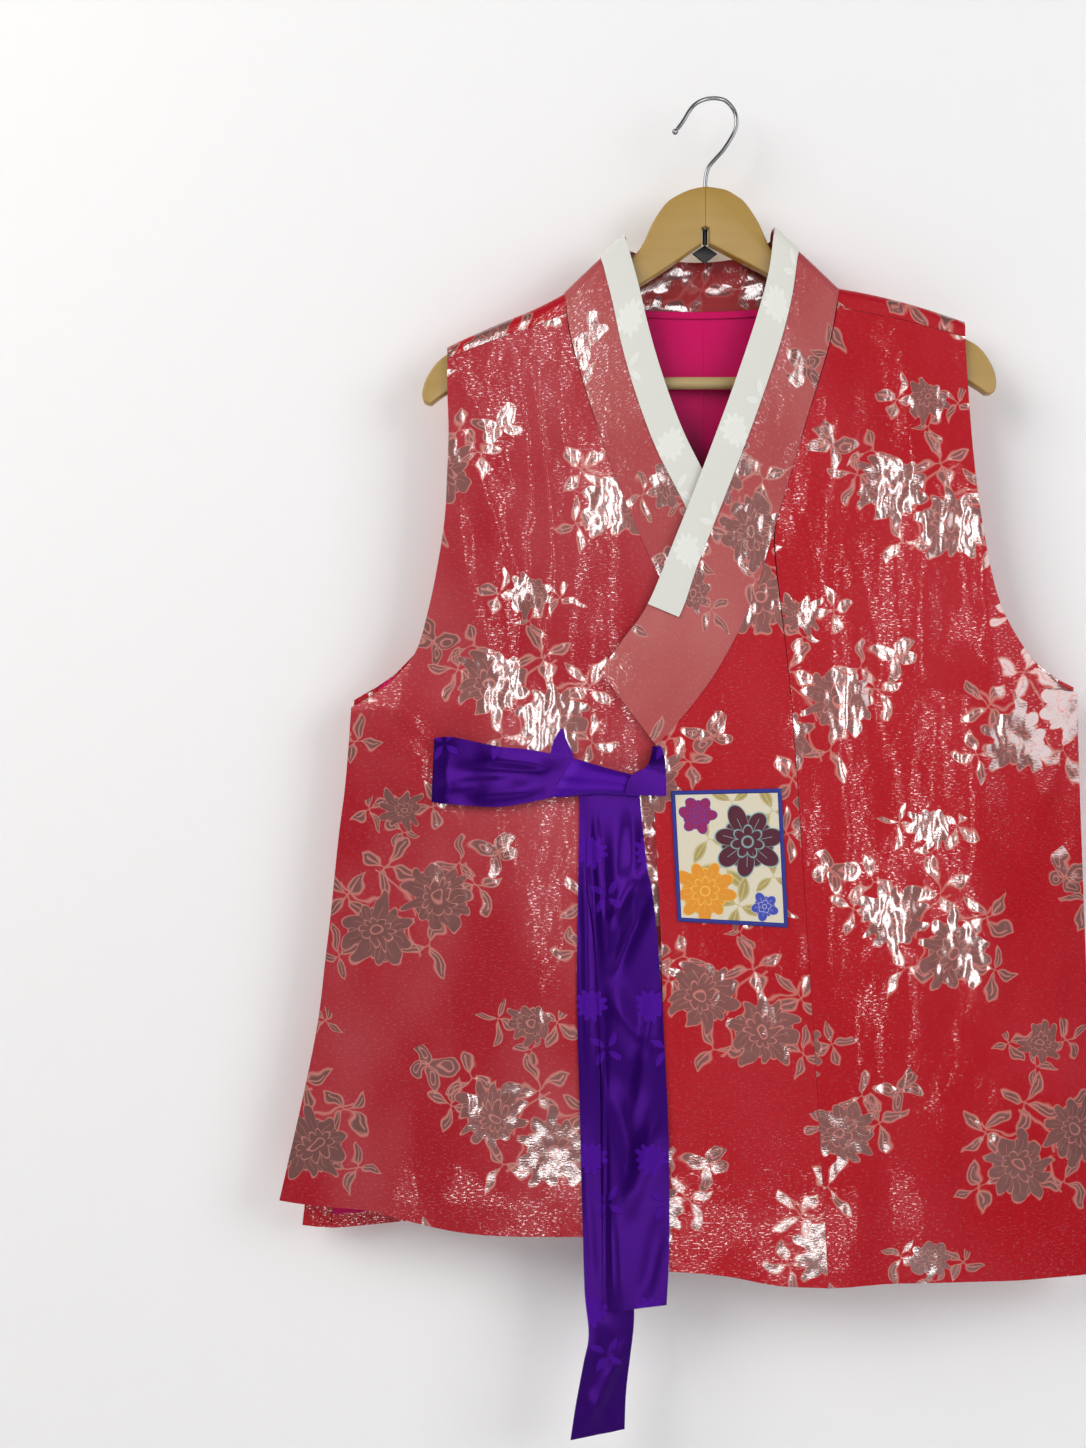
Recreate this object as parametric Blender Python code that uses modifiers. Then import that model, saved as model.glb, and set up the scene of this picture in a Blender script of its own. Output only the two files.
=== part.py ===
"""Sleeveless hanbok top hanging on a flat wooden hanger with a wire hook.

The tables hold millimetres, and the model is built in metres.
X runs to the viewer's right, Y away from the viewer and Z up.
The origin is the place where the hook rests on its support.
"""

import math

import bmesh
import bpy
from mathutils import Vector

MM = 0.001

# Cloth and gaps
CLOTH = 1.5
TRIM = 1.0
GAP = 0.3
SEAM_GAP = 0.8
LAP = 4.0
LAP_SIDE = 150.0
LAP_WIDTH = 60.0
LAP_TOP = -165.0
LAP_FALL = 90.0
ON_CLOTH = CLOTH / 2 + GAP + TRIM / 2
SIDE_SEAM_DEPTH = (CLOTH + GAP) / 2
SIDE_ROUND = 160.0
SIDE_FULLNESS = 0.8
FOLD_TAPER = 0.35
BACK_CENTRE = -2.0

# How the back rolls over the hanger to the shoulder seam in front
WRAP_DEPTH = 9.5
WRAP_RISE = 6.0
WRAP_LENGTH = 24.7
WRAP_STEPS = 4
WRAP_CLEAR = 4.0

# Rows and columns of the cloth grids
ARMHOLE_ROWS = 9
SIDE_ROWS = 13
NECK_ROWS = 5
FRONT_COLUMNS = 11
SEOP_COLUMNS = 7
SEOP_POINT = 16.0
BACK_ACROSS = (0.0, 0.07, 0.14, 0.23, 0.35, 0.47, 0.58, 0.69, 0.8, 0.9, 1.0)
CURVE_STEPS = 8
COLLAR_STEPS = 2
LINING_ENDS = 0.53
FACING_STARTS = 0.55

# Hanger
WOOD_THICKNESS = 12.0
WOOD_ROUND = 1.6
WOOD_JOINT = -1.6
WIRE_RADIUS = 1.6
BAR_RADIUS = 4.8
BAR_HEIGHT = -222.5
PIN_RADIUS = 2.0
PIN_TOP = -102.1
PIN_LENGTH = 11.4
BORE_LENGTH = 50.0
BORE_MIDDLE = -86.0
PLATE_THICKNESS = 2.4
PLATE_ROUND = 0.4

# Standing depth of the cloth from the middle plane: height, middle, side edge
BODY_DEPTH = (
    (-100, 9.5, 9.5),
    (-205, 9.8, 9.5),
    (-300, 12.5, 9.2),
    (-400, 15.5, 6.0),
    (-468, 17.5, SIDE_SEAM_DEPTH),
    (-560, 19.0, SIDE_SEAM_DEPTH),
    (-728, 22.0, SIDE_SEAM_DEPTH),
    (-790, 23.0, 3.0),
    (-925, 24.5, 5.0),
)

# Outlines in the plane of the cloth: x, z
RIDGE_LEFT = ((-210, -198), (-187, -187), (-163, -176.5), (-136, -165.5), (-110, -152))
RIDGE_RIGHT = ((101, -148.5), (134, -155), (168, -164), (210, -178))
SHOULDER_SEAM_LEFT = ((-204, -205), (-171, -192), (-139, -181), (-111, -170))
SHOULDER_SEAM_RIGHT = ((201, -188), (152, -175), (117, -168), (101.2, -163.3))
ARMHOLE_LEFT = (
    (-204, -205), (-204, -231), (-203, -262), (-204, -293), (-206, -330), (-212, -368),
    (-219, -401), (-229, -434), (-248, -457), (-268, -471), (-280, -478),
)
ARMHOLE_RIGHT = (
    (201, -188), (204, -239), (208, -286), (214, -331), (222, -373), (231, -401),
    (245, -426), (261, -447), (277, -460), (291, -467),
)
SIDE_LEFT = (
    (-280, -478), (-282, -507), (-285, -542), (-290, -581), (-296, -640), (-300, -674),
    (-306, -725), (-317, -781), (-336, -865),
)
SIDE_RIGHT = ((291, -467), (292, -511), (296, -628), (300, -729), (304, -822), (308, -921))
HEM_FRONT_LEFT = (
    (-336, -865), (-300, -867.5), (-263, -869), (-243, -874), (-201, -883), (-161, -887),
    (-99, -888), (-30, -890), (26, -892),
)
HEM_SEOP = ((91, -926), (52, -924), (12, -917), (-32, -913))
HEM_FRONT_RIGHT = ((308, -921), (243, -923), (190, -923), (134, -924), (91, -926))
HEM_BACK_LEFT = (
    (-320, -888), (-303, -891), (-285, -891), (-236, -888), (-188, -887), (-100, -894), (-2, -903),
)
HEM_BACK_RIGHT = ((305, -925), (240, -921), (150, -915), (70, -908), (-2, -903))
UNDERLAP_EDGE = ((36, -507), (36, -560), (33, -700), (26, -892))
SEOP_EDGE = ((-42, -507), (-43, -550), (-41, -597), (-38, -659), (-35, -780), (-32, -913))
SEOP_SEAM = ((51, -335), (51, -363), (63, -472), (75, -651), (91, -926))
BACK_SIDE_LEFT = (
    (-278, -472), (-281, -507), (-284, -542), (-289, -581), (-295, -640), (-299, -674),
    (-304, -725), (-308, -781), (-320, -888),
)
BACK_UNDERARM_LEFT = ((-246, -452), (-266, -466), (-278, -472))
BACK_UNDERARM_RIGHT = ((259, -442), (275, -455), (289, -462))
BACK_SIDE_RIGHT = ((289, -462), (291, -511), (295, -628), (299, -729), (302, -822), (305, -925))

# Collar band, from each shoulder down: neck edge x, z and sewn edge x, z
COLLAR_LEFT = (
    (-64, -114, -111, -158), (-55, -146, -107, -187), (-47, -180, -99, -216),
    (-36, -218, -88, -252), (-20, -262, -72, -298), (2, -307, -50, -350),
    (38, -385, -12, -428), (78, -450, 36, -507),
)
COLLAR_RIGHT = (
    (51, -108, 101, -154.5), (47, -138, 96, -184), (38, -172, 88, -213),
    (26, -208, 77, -248), (12, -247, 65, -288), (-5, -292, 50, -338),
    (-26, -345, 32, -396), (-48, -398, 8, -444), (-67, -425, -16, -478),
    (-85, -450, -42, -507),
)
COLLAR_BACK = (
    (-64, -114, -111, -158), (-50, -119, -88, -163), (-28, -123, -50, -166),
    (-2, -124, -2, -167), (26, -121, 44, -165), (42, -115, 76, -160), (51, -108, 101, -154.5),
)
COLLAR_LEAN = 3.0
COLLAR_LEAN_WIDTH = 60.0
PIPING_LEFT = -72.0
PIPING_RIGHT = 62.0
PIPING_ABOVE = 2.0
PIPING_BELOW = 3.0
WHITE_WIDTH = 25.0
WHITE_EASE = 0.15
WHITE_END_LEFT = 12
WHITE_END_RIGHT = 14
WHITE_CORNER = (-24, -408)

# Largest folds: upper end x, z, lower end x, z, half width, height
FOLDS_LEFT = (
    (-152, -215, -166, -400, 13, 2.0),
    (-122, -230, -128, -430, 10, 1.6),
    (-196, -262, -160, -345, 10, 1.4),
    (-262, -500, -196, -575, 13, 1.8),
    (-132, -560, -118, -880, 20, 2.4),
    (-282, -640, -236, -868, 24, 2.8),
    (-190, -760, -196, -885, 16, 1.6),
)
FOLDS_RIGHT = (
    (150, -230, 168, -420, 18, 1.8),
    (198, -400, 228, -640, 26, 3.2),
    (252, -700, 284, -915, 24, 3.0),
    (136, -560, 150, -915, 28, 2.4),
)
FOLDS_BACK = (
    (-130, -330, -190, -600, 26, 2.6),
    (120, -330, 176, -620, 26, 2.6),
    (-60, -480, -84, -880, 30, 3.0),
    (70, -520, 104, -900, 30, 3.0),
    (-215, -560, -250, -870, 22, 2.2),
    (222, -560, 248, -900, 22, 2.2),
)

# Ribbon strips: left x, z, right x, z and the lift off the front at left and right
TAIL_FRONT = (
    (-94, -549.5, -54, -550, 3.4, 4.6),
    (-95, -612, -49, -600, 3.4, 6.4),
    (-91, -643, -44.5, -622, 4.2, 6.6),
    (-87, -690, -40, -668, 3.4, 6.6),
    (-84.5, -760, -35.5, -740, 4.0, 6.6),
    (-83.5, -822, -32.5, -810, 3.6, 6.8),
    (-83, -900, -32, -890, 4.2, 6.6),
    (-83, -945, -34, -938, 4.0, 6.8),
)
TAIL_REAR = (
    (-101, -549.5, -66, -550, 1.7, 1.7),
    (-102, -620, -66, -620, 1.7, 1.7),
    (-103, -700, -64, -700, 1.7, 1.7),
    (-101, -780, -62, -780, 1.9, 1.7),
    (-98.5, -880, -60, -880, 1.7, 1.7),
    (-97, -930, -59, -930, 1.7, 1.7),
    (-94, -962, -59, -955, 3.5, 0.5),
    (-98, -984, -62, -982, 4.5, -1.0),
    (-104, -1017, -65, -1010, 3.0, -2.0),
    (-108, -1044, -66, -1037, 2.0, -2.0),
)
TIE = (
    (-44.5, -508, -38, -508, 6.0, 6.0),
    (-45.5, -514, -35.5, -516, 8.5, 8.0),
    (-48.5, -524, -34.6, -527, 13.0, 11.0),
    (-54, -531, -34.4, -536, 16.6, 12.0),
    (-57, -543, -34.3, -544.5, 15.4, 12.0),
)
PEAK = (
    (-115.5, -494.5, -113, -494.5, 2.2, 2.2),
    (-119.5, -501, -112, -501, 2.4, 2.8),
    (-121.5, -506, -108.5, -508.5, 2.6, 3.4),
    (-123, -511, -106.5, -512.6, 2.6, 3.4),
)
# Bow loop, round its fold: top x, z, bottom x, z and the lift off the front
LOOP = (
    (-112, -515, -129, -546, 2.0), (-163, -509, -163, -553, 2.0), (-198, -502.5, -199, -551, 2.0),
    (-209, -502, -210, -550, 2.4), (-213.5, -502, -215.5, -551, 3.8),
    (-210.5, -501.5, -212, -552, 5.6), (-200, -501, -201, -553, 6.6),
    (-180, -505, -181, -554.5, 6.2), (-163, -508.5, -163, -555, 6.4),
    (-138, -511, -142, -552, 6.4), (-104, -518, -121.5, -547.5, 6.6),
)
# Knot, from its left fold to the right: top x, z, bottom x, z, back and front lift
KNOT = (
    (-105.5, -517.5, -124, -547, 7.5, 9.2),
    (-98, -519.5, -115, -547.5, 7.6, 12.4),
    (-88, -522.5, -102, -546.5, 5.0, 14.4),
    (-74, -526.5, -84, -545.5, 5.0, 14.8),
    (-62, -529.5, -66, -546.5, 6.2, 13.8),
    (-55, -531, -56, -547, 6.4, 12.4),
)
KNOT_SIDES = 10

# Patch on the overlap gusset: corners x, z
PATCH = ((-30, -543), (55, -541), (60, -648), (-25, -643))
PATCH_COLUMNS = 6
PATCH_ROWS = 7
BINDING = 2.6

# Hanger outlines: x, z
WOOD_LEFT = (
    (-1.6, -68.8), (-13.4, -71.2), (-25.2, -76.6), (-33.5, -83), (-43.3, -97.7), (-52.8, -117.4),
    (-66, -129.5), (-86, -143), (-110, -156.2), (-136, -169.2), (-163, -181), (-187, -191.6),
    (-205, -201), (-214, -209), (-221, -220), (-224, -231), (-222.5, -238), (-217, -240),
    (-205, -231), (-163, -206.5), (-110, -177), (-52.8, -146), (-4.6, -113.8), (-4.6, -101.5),
    (-1.6, -100.4),
)
WOOD_RIGHT = (
    (-1.6, -68.8), (13.4, -71.2), (22.1, -75.8), (29.9, -82), (40.2, -97.7), (49.6, -117.4),
    (62, -127.5), (82, -140.5), (104, -153.8), (134, -164), (168, -174.8), (192, -184),
    (207, -191), (215, -197), (222, -207), (226, -217), (226.5, -226), (224, -231), (219, -231.5),
    (207, -223.5), (168, -203), (110, -172.5), (49.6, -139), (1.2, -113.8), (1.2, -101.5),
    (-1.6, -100.4),
)
HOOK = (
    (-23.4, -22.2), (-20.6, -18.6), (-17.9, -14.6), (-14.5, -8.7), (-11.0, -4.2), (-6.4, -0.7),
    (0.0, 1.6), (5.5, 2.1), (10.0, 1.7), (14.4, 0.2), (18.2, -3.2), (21.3, -7.6), (23.0, -13.4),
    (23.1, -18.6), (21.7, -23.8), (19.1, -29.0), (12.7, -38.8), (3.5, -49.2), (0.6, -53.9),
    (-0.9, -59.7), (-1.4, -68.0), (-1.6, -78.0), (-1.6, -101.8),
)
HOOK_TIP = (-25.2, -24.4)
HOOK_TIP_RADIUS = 2.4
CLIP = ((-11.8, -120.6), (-1.8, -113.9), (8.2, -120.6), (-1.8, -128.4))
BAR_LEFT = -181.6
BAR_RIGHT = 195.4

# Finish: red, green, blue, roughness, metallic
FINISHES = {
    "brocade": (0.62, 0.05, 0.08, 0.42, 0.15),
    "collar_brocade": (0.50, 0.11, 0.12, 0.42, 0.15),
    "white_satin": (0.74, 0.77, 0.72, 0.5, 0.0),
    "pink_lining": (0.66, 0.02, 0.14, 0.5, 0.0),
    "purple_satin": (0.05, 0.01, 0.27, 0.35, 0.0),
    "cream_satin": (0.80, 0.73, 0.58, 0.5, 0.0),
    "blue_binding": (0.03, 0.05, 0.32, 0.5, 0.0),
    "pale_wood": (0.50, 0.32, 0.09, 0.45, 0.0),
    "chrome": (0.70, 0.70, 0.71, 0.12, 1.0),
    "dark_metal": (0.02, 0.02, 0.02, 0.4, 0.8),
}


def ease(value):
    """Go smoothly from 0 to 1 while the value does."""
    value = min(max(value, 0.0), 1.0)
    return value * value * (3.0 - 2.0 * value)


def mix(start, end, share):
    return tuple(a + (b - a) * share for a, b in zip(start, end))


def smooth(rows, steps=CURVE_STEPS):
    """Pass a smooth curve through the rows of a table, with a few points for each span."""
    rows = [tuple(float(value) for value in row) for row in rows]
    ends = [rows[0]] + rows + [rows[-1]]
    curve = []
    for before, start, end, after in zip(ends, ends[1:], ends[2:], ends[3:]):
        for step in range(steps):
            t = step / steps
            curve.append(tuple(
                0.5 * (2 * b + (c - a) * t + (2 * a - 5 * b + 4 * c - d) * t * t
                       + (3 * b - a - 3 * c + d) * t ** 3)
                for a, b, c, d in zip(before, start, end, after)
            ))
    curve.append(rows[-1])
    return curve


def at_share(curve, share):
    """Give the point at a share of the curve's length."""
    lengths = [0.0]
    for start, end in zip(curve, curve[1:]):
        lengths.append(lengths[-1] + math.dist(start, end))
    wanted = share * lengths[-1]
    for index in range(len(curve) - 1):
        if lengths[index + 1] >= wanted:
            span = lengths[index + 1] - lengths[index]
            return mix(curve[index], curve[index + 1], (wanted - lengths[index]) / max(span, 1e-9))
    return curve[-1]


def spaced(curve, count):
    """Split a curve into equal lengths."""
    return [at_share(curve, step / count) for step in range(count + 1)]


def at_height(curve, height):
    """Give the point of a falling curve at a height."""
    if height >= curve[0][1]:
        return curve[0]
    for start, end in zip(curve, curve[1:]):
        if end[1] <= height <= start[1] and start[1] > end[1]:
            return mix(start, end, (start[1] - height) / (start[1] - end[1]))
    return curve[-1]


def side_at(curve, height):
    """Give the x of a side outline at a height, held past its ends."""
    return at_height(curve, height)[0]


RIDGES = (smooth(RIDGE_LEFT), smooth(RIDGE_RIGHT))
OUTLINE_LEFT = smooth(ARMHOLE_LEFT) + smooth(SIDE_LEFT)[1:]
OUTLINE_RIGHT = smooth(ARMHOLE_RIGHT) + smooth(SIDE_RIGHT)[1:]
COLLAR_SEAM_LEFT = [(row[2], row[3]) for row in smooth(COLLAR_LEFT)]
COLLAR_SEAM_RIGHT = [(row[2], row[3]) for row in smooth(COLLAR_RIGHT)]
COLLAR_SEAM_BACK = [(row[2], row[3]) for row in smooth(COLLAR_BACK)]


def ridge_height(x):
    """Give the height of the shoulder's top line."""
    ridge = RIDGES[0] if x < 0 else RIDGES[1]
    if x <= ridge[0][0]:
        return ridge[0][1]
    for start, end in zip(ridge, ridge[1:]):
        if start[0] <= x <= end[0]:
            return start[1] + (end[1] - start[1]) * (x - start[0]) / (end[0] - start[0])
    return ridge[-1][1]


def half_depth(x, z):
    """Give how far the cloth stands from the middle plane of the garment."""
    for above, below in zip(BODY_DEPTH, BODY_DEPTH[1:]):
        if z >= below[0]:
            break
    share = min(max((above[0] - z) / (above[0] - below[0]), 0.0), 1.0)
    middle = above[1] + (below[1] - above[1]) * share
    edge = above[2] + (below[2] - above[2]) * share
    inside = min(x - side_at(OUTLINE_LEFT, z), side_at(OUTLINE_RIGHT, z) - x)
    spread = min(max(inside / SIDE_ROUND, 0.0), 1.0)
    return edge + (middle - edge) * math.sin(spread * math.pi / 2) ** SIDE_FULLNESS


def fold_height(folds, x, z):
    """Add up the folds, each a soft ridge that dies out at both ends."""
    total = 0.0
    for x_top, z_top, x_end, z_end, width, height in folds:
        run_x = x_end - x_top
        run_z = z_end - z_top
        length = math.hypot(run_x, run_z)
        along = ((x - x_top) * run_x + (z - z_top) * run_z) / length
        off = ((x - x_top) * run_z - (z - z_top) * run_x) / length
        run_in = FOLD_TAPER * length
        taper = ease(along / run_in) * ease((length - along) / run_in + FOLD_TAPER)
        total += height * taper * math.exp(-0.5 * (off / width) ** 2)
    return total


def lap_height(x, z):
    """Give the step of the right front over the left one, where the two overlap."""
    return LAP * ease((LAP_SIDE - x) / LAP_WIDTH) * ease((LAP_TOP - z) / LAP_FALL)


def left_front(x, z, lift=0.0):
    return Vector((x, -(half_depth(x, z) + fold_height(FOLDS_LEFT, x, z) + lift), z))


def right_front(x, z, lift=0.0):
    depth = half_depth(x, z) + fold_height(FOLDS_RIGHT, x, z) + lap_height(x, z)
    return Vector((x, -(depth + lift), z))


def back(x, z, lift=0.0):
    return Vector((x, half_depth(x, z) + fold_height(FOLDS_BACK, x, z) + lift, z))


def over_hanger(x, height):
    """Bend the flat back over the hanger: heights past the ridge come down in front."""
    foot = ridge_height(x) - WRAP_RISE
    if height <= foot:
        return back(x, height)
    angle = (height - foot) / WRAP_LENGTH * math.pi
    if angle <= math.pi:
        return Vector((x, WRAP_DEPTH * math.cos(angle), foot + WRAP_RISE * math.sin(angle)))
    z = 2 * foot + WRAP_LENGTH - height
    return Vector((x, -half_depth(x, z), z))


def flat_height(x, z):
    """Give the height, on the flat back, of a place in front of the shoulder."""
    foot = ridge_height(x) - WRAP_RISE
    return foot + WRAP_LENGTH + foot - z


def moved(grid, distance):
    """Move a grid of points off its own surface, along the normal at each point."""
    last_row = len(grid) - 1
    last_column = len(grid[0]) - 1
    result = []
    for i, row in enumerate(grid):
        new_row = []
        for j, point in enumerate(row):
            down = grid[min(i + 1, last_row)][j] - grid[max(i - 1, 0)][j]
            across = row[min(j + 1, last_column)] - row[max(j - 1, 0)]
            normal = across.cross(down).normalized()
            new_row.append(point + normal * distance)
        result.append(new_row)
    return result


def make_material(name):
    red, green, blue, roughness, metallic = FINISHES[name]
    material = bpy.data.materials.get(name)
    if material is None:
        material = bpy.data.materials.new(name)
        material.use_nodes = True
        shader = material.node_tree.nodes["Principled BSDF"]
        shader.inputs["Base Color"].default_value = (red, green, blue, 1.0)
        shader.inputs["Roughness"].default_value = roughness
        shader.inputs["Metallic"].default_value = metallic
        material.diffuse_color = (red, green, blue, 1.0)
    return material


def add_object(name, mesh, finish, collection, shade_smooth=True):
    """Put a mesh in the part's collection with its own material."""
    material = make_material(finish).copy()
    material.name = name + "_finish"
    mesh.materials.append(material)
    if shade_smooth:
        mesh.shade_smooth()
        mesh.set_sharp_from_angle(angle=math.radians(40))
    piece = bpy.data.objects.new(name, mesh)
    collection.objects.link(piece)
    return piece


def add_wall(name, grid, finish, thickness, collection):
    """Make a cloth wall from a grid of points: an open sheet with Solidify."""
    rows = len(grid) - 1
    columns = len(grid[0]) - 1
    sheet = bmesh.new()
    bmesh.ops.create_grid(sheet, x_segments=columns, y_segments=rows, size=0.5)
    for vertex in sheet.verts:
        column = round((vertex.co.x + 0.5) * columns)
        row = round((0.5 - vertex.co.y) * rows)
        vertex.co = grid[row][column] * MM
    mesh = bpy.data.meshes.new(name)
    sheet.to_mesh(mesh)
    sheet.free()
    piece = add_object(name, mesh, finish, collection)
    wall = piece.modifiers.new("wall", "SOLIDIFY")
    wall.thickness = thickness * MM
    wall.offset = 0.0
    wall.use_even_offset = True
    return piece


def panel_points(outer, inner, top, hem, across):
    """Fill a panel between its outer and inner rows, and bend its ends to the top and hem."""
    count = len(outer) - 1
    fall = outer[-1][1] - outer[0][1]
    grid = []
    for start, end in zip(outer, inner):
        share = (start[1] - outer[0][1]) / fall
        at_top = (1.0 - share) ** 3
        at_hem = share ** 3
        row = []
        for place in across:
            x, z = mix(start, end, place)
            top_x, top_z = mix(outer[0], inner[0], place)
            hem_x, hem_z = mix(outer[count], inner[count], place)
            real_top = at_share(top, place)
            real_hem = at_share(hem, place)
            x += at_top * (real_top[0] - top_x) + at_hem * (real_hem[0] - hem_x)
            z += at_top * (real_top[1] - top_z) + at_hem * (real_hem[1] - hem_z)
            row.append((x, z))
        grid.append(row)
    return grid


def even(count):
    return [step / count for step in range(count + 1)]


def level_rows(outer, inner):
    """Pair each outer row with the inner outline at the same share of its height."""
    fall = outer[-1][1] - outer[0][1]
    inner_fall = inner[-1][1] - inner[0][1]
    return [at_height(inner, inner[0][1] + inner_fall * (row[1] - outer[0][1]) / fall) for row in outer]


def shift(points, dx):
    return [(x + dx, z) for x, z in points]


def below(curve, height):
    """Keep the part of a falling curve under a height."""
    return [at_height(curve, height)] + [point for point in curve if point[1] < height - 0.5]


def make_front_left(collection):
    """Wearer's right front, whose edge runs on under the other front."""
    outer = spaced(smooth(ARMHOLE_LEFT), ARMHOLE_ROWS) + spaced(smooth(SIDE_LEFT), SIDE_ROWS)[1:]
    inner = below(COLLAR_SEAM_LEFT, SHOULDER_SEAM_LEFT[-1][1]) + smooth(UNDERLAP_EDGE)[1:]
    points = panel_points(outer, level_rows(outer, inner), smooth(SHOULDER_SEAM_LEFT),
                          smooth(HEM_FRONT_LEFT), even(FRONT_COLUMNS))
    grid = [[left_front(x, z) for x, z in row] for row in points]
    return add_wall("front_left", grid, "brocade", CLOTH, collection)


def make_front_right(collection):
    """Wearer's left front, from the side to the gusset seam."""
    outer = spaced(smooth(ARMHOLE_RIGHT), ARMHOLE_ROWS) + spaced(smooth(SIDE_RIGHT), SIDE_ROWS)[1:]
    seam_top = SEOP_SEAM[0][1]
    collar = [point for point in below(COLLAR_SEAM_RIGHT, SHOULDER_SEAM_RIGHT[-1][1])
              if point[1] > seam_top]
    inner = collar + shift(smooth(SEOP_SEAM), SEAM_GAP / 2)
    points = panel_points(outer, level_rows(outer, inner), smooth(SHOULDER_SEAM_RIGHT),
                          shift(smooth(HEM_FRONT_RIGHT), SEAM_GAP / 2), even(FRONT_COLUMNS))
    grid = [[right_front(x, z) for x, z in row] for row in points]
    return add_wall("front_right", grid, "brocade", CLOTH, collection)


def seop_points():
    """Gusset of the upper front, between its seam, the collar and the front edge."""
    seam = shift(smooth(SEOP_SEAM), -SEAM_GAP / 2)
    collar = below(COLLAR_SEAM_RIGHT, SEOP_SEAM[0][1] - SEOP_POINT)
    edge = spaced(collar, ARMHOLE_ROWS) + spaced(smooth(SEOP_EDGE), SIDE_ROWS)[1:]
    outer = level_rows(edge, seam)
    top = [outer[0], edge[0]]
    return panel_points(outer, edge, top, shift(smooth(HEM_SEOP), -SEAM_GAP / 2), even(SEOP_COLUMNS))


def make_seop_right(collection):
    grid = [[right_front(x, z) for x, z in row] for row in seop_points()]
    return add_wall("seop_right", grid, "brocade", CLOTH, collection)


def back_points(seam_in_front, armhole, side, hem, neck, centre):
    """Flat rows of one back half: over the shoulder, round the armhole and down to the hem."""
    tip_x, tip_z = seam_in_front[0]
    top = [(x, flat_height(x, z + GAP)) for x, z in seam_in_front]
    inner_x = top[-1][0]
    foot_outer = ridge_height(tip_x) - WRAP_RISE
    foot_inner = ridge_height(inner_x) - WRAP_RISE
    outer = [mix(top[0], (tip_x, foot_outer), step / WRAP_STEPS) for step in range(WRAP_STEPS)]
    inner = [mix(top[-1], (inner_x, foot_inner), step / WRAP_STEPS) for step in range(WRAP_STEPS)]
    armhole_edge = [(tip_x, foot_outer)]
    armhole_edge += [point for point in armhole if point[1] < foot_outer - WRAP_CLEAR]
    outer += spaced(armhole_edge, ARMHOLE_ROWS) + spaced(side, SIDE_ROWS)[1:]
    neck = neck[:-1] + [(centre, neck[-1][1])]
    hem = hem[:-1] + [(centre, hem[-1][1])]
    centre_line = [neck[-1], hem[-1]]
    rest = len(outer) - WRAP_STEPS - NECK_ROWS - 1
    inner += spaced(neck, NECK_ROWS) + spaced(centre_line, rest)[1:]
    return panel_points(outer, inner, top, hem, BACK_ACROSS)


def back_half(side):
    """Give the flat points of the left or right back half."""
    if side == "left":
        neck = [(x, z) for x, z in COLLAR_SEAM_BACK if x <= BACK_CENTRE + 0.01]
        armhole = smooth(ARMHOLE_LEFT[:-3]) + list(BACK_UNDERARM_LEFT)
        return back_points(smooth(SHOULDER_SEAM_LEFT), armhole, smooth(BACK_SIDE_LEFT),
                           smooth(HEM_BACK_LEFT), neck, BACK_CENTRE - SEAM_GAP / 2)
    neck = [(x, z) for x, z in reversed(COLLAR_SEAM_BACK) if x >= BACK_CENTRE - 0.01]
    armhole = smooth(ARMHOLE_RIGHT[:-3]) + list(BACK_UNDERARM_RIGHT)
    return back_points(smooth(SHOULDER_SEAM_RIGHT), armhole, smooth(BACK_SIDE_RIGHT),
                       smooth(HEM_BACK_RIGHT), neck, BACK_CENTRE + SEAM_GAP / 2)


def make_back(side, collection):
    """Back half, its lining and the facing along its hem."""
    points = back_half(side)
    grid = [[over_hanger(x, height) for x, height in row] for row in points]
    add_wall("back_" + side, grid, "brocade", CLOTH, collection)
    way = -1 if side == "left" else 1
    inside = [row[1:] for row in moved(grid[WRAP_STEPS + 1:], way * ON_CLOTH)]
    lining_end = [a.lerp(b, LINING_ENDS) for a, b in zip(inside[-2], inside[-1])]
    facing_start = [a.lerp(b, FACING_STARTS) for a, b in zip(inside[-2], inside[-1])]
    add_wall("lining_back_" + side, inside[:-1] + [lining_end], "pink_lining", TRIM, collection)
    add_wall("facing_back_" + side, [facing_start, inside[-1]], "brocade", TRIM, collection)


def collar_rails():
    """Neck edge and sewn edge for each row of the collar, end to end."""
    rails = []
    for neck_x, neck_z, seam_x, seam_z in reversed(smooth(COLLAR_LEFT, COLLAR_STEPS)):
        rails.append((left_front(neck_x, neck_z), left_front(seam_x, seam_z)))
    rails += collar_turn(COLLAR_BACK[0], 1)
    for neck_x, neck_z, seam_x, seam_z in smooth(COLLAR_BACK, COLLAR_STEPS):
        lean = COLLAR_LEAN * ease(1.0 - abs(neck_x) / COLLAR_LEAN_WIDTH)
        rails.append((back(neck_x, neck_z, lean), back(seam_x, seam_z)))
    rails += collar_turn(COLLAR_BACK[-1], -1)
    for neck_x, neck_z, seam_x, seam_z in smooth(COLLAR_RIGHT, COLLAR_STEPS):
        rails.append((right_front(neck_x, neck_z), right_front(seam_x, seam_z)))
    return [(neck, seam + (neck - seam).normalized() * SEAM_GAP) for neck, seam in rails]


def collar_turn(row, way):
    """Rows where the collar turns over the shoulder, from the front to the back or back again."""
    neck_x, neck_z, seam_x, seam_z = row
    turn = []
    for step in range(1, WRAP_STEPS):
        angle = math.pi * step / WRAP_STEPS
        y = -way * WRAP_DEPTH * math.cos(angle)
        rise = WRAP_RISE * math.sin(angle)
        turn.append((Vector((neck_x, y, neck_z + rise)), Vector((seam_x, y, seam_z + rise))))
    return turn


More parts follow.
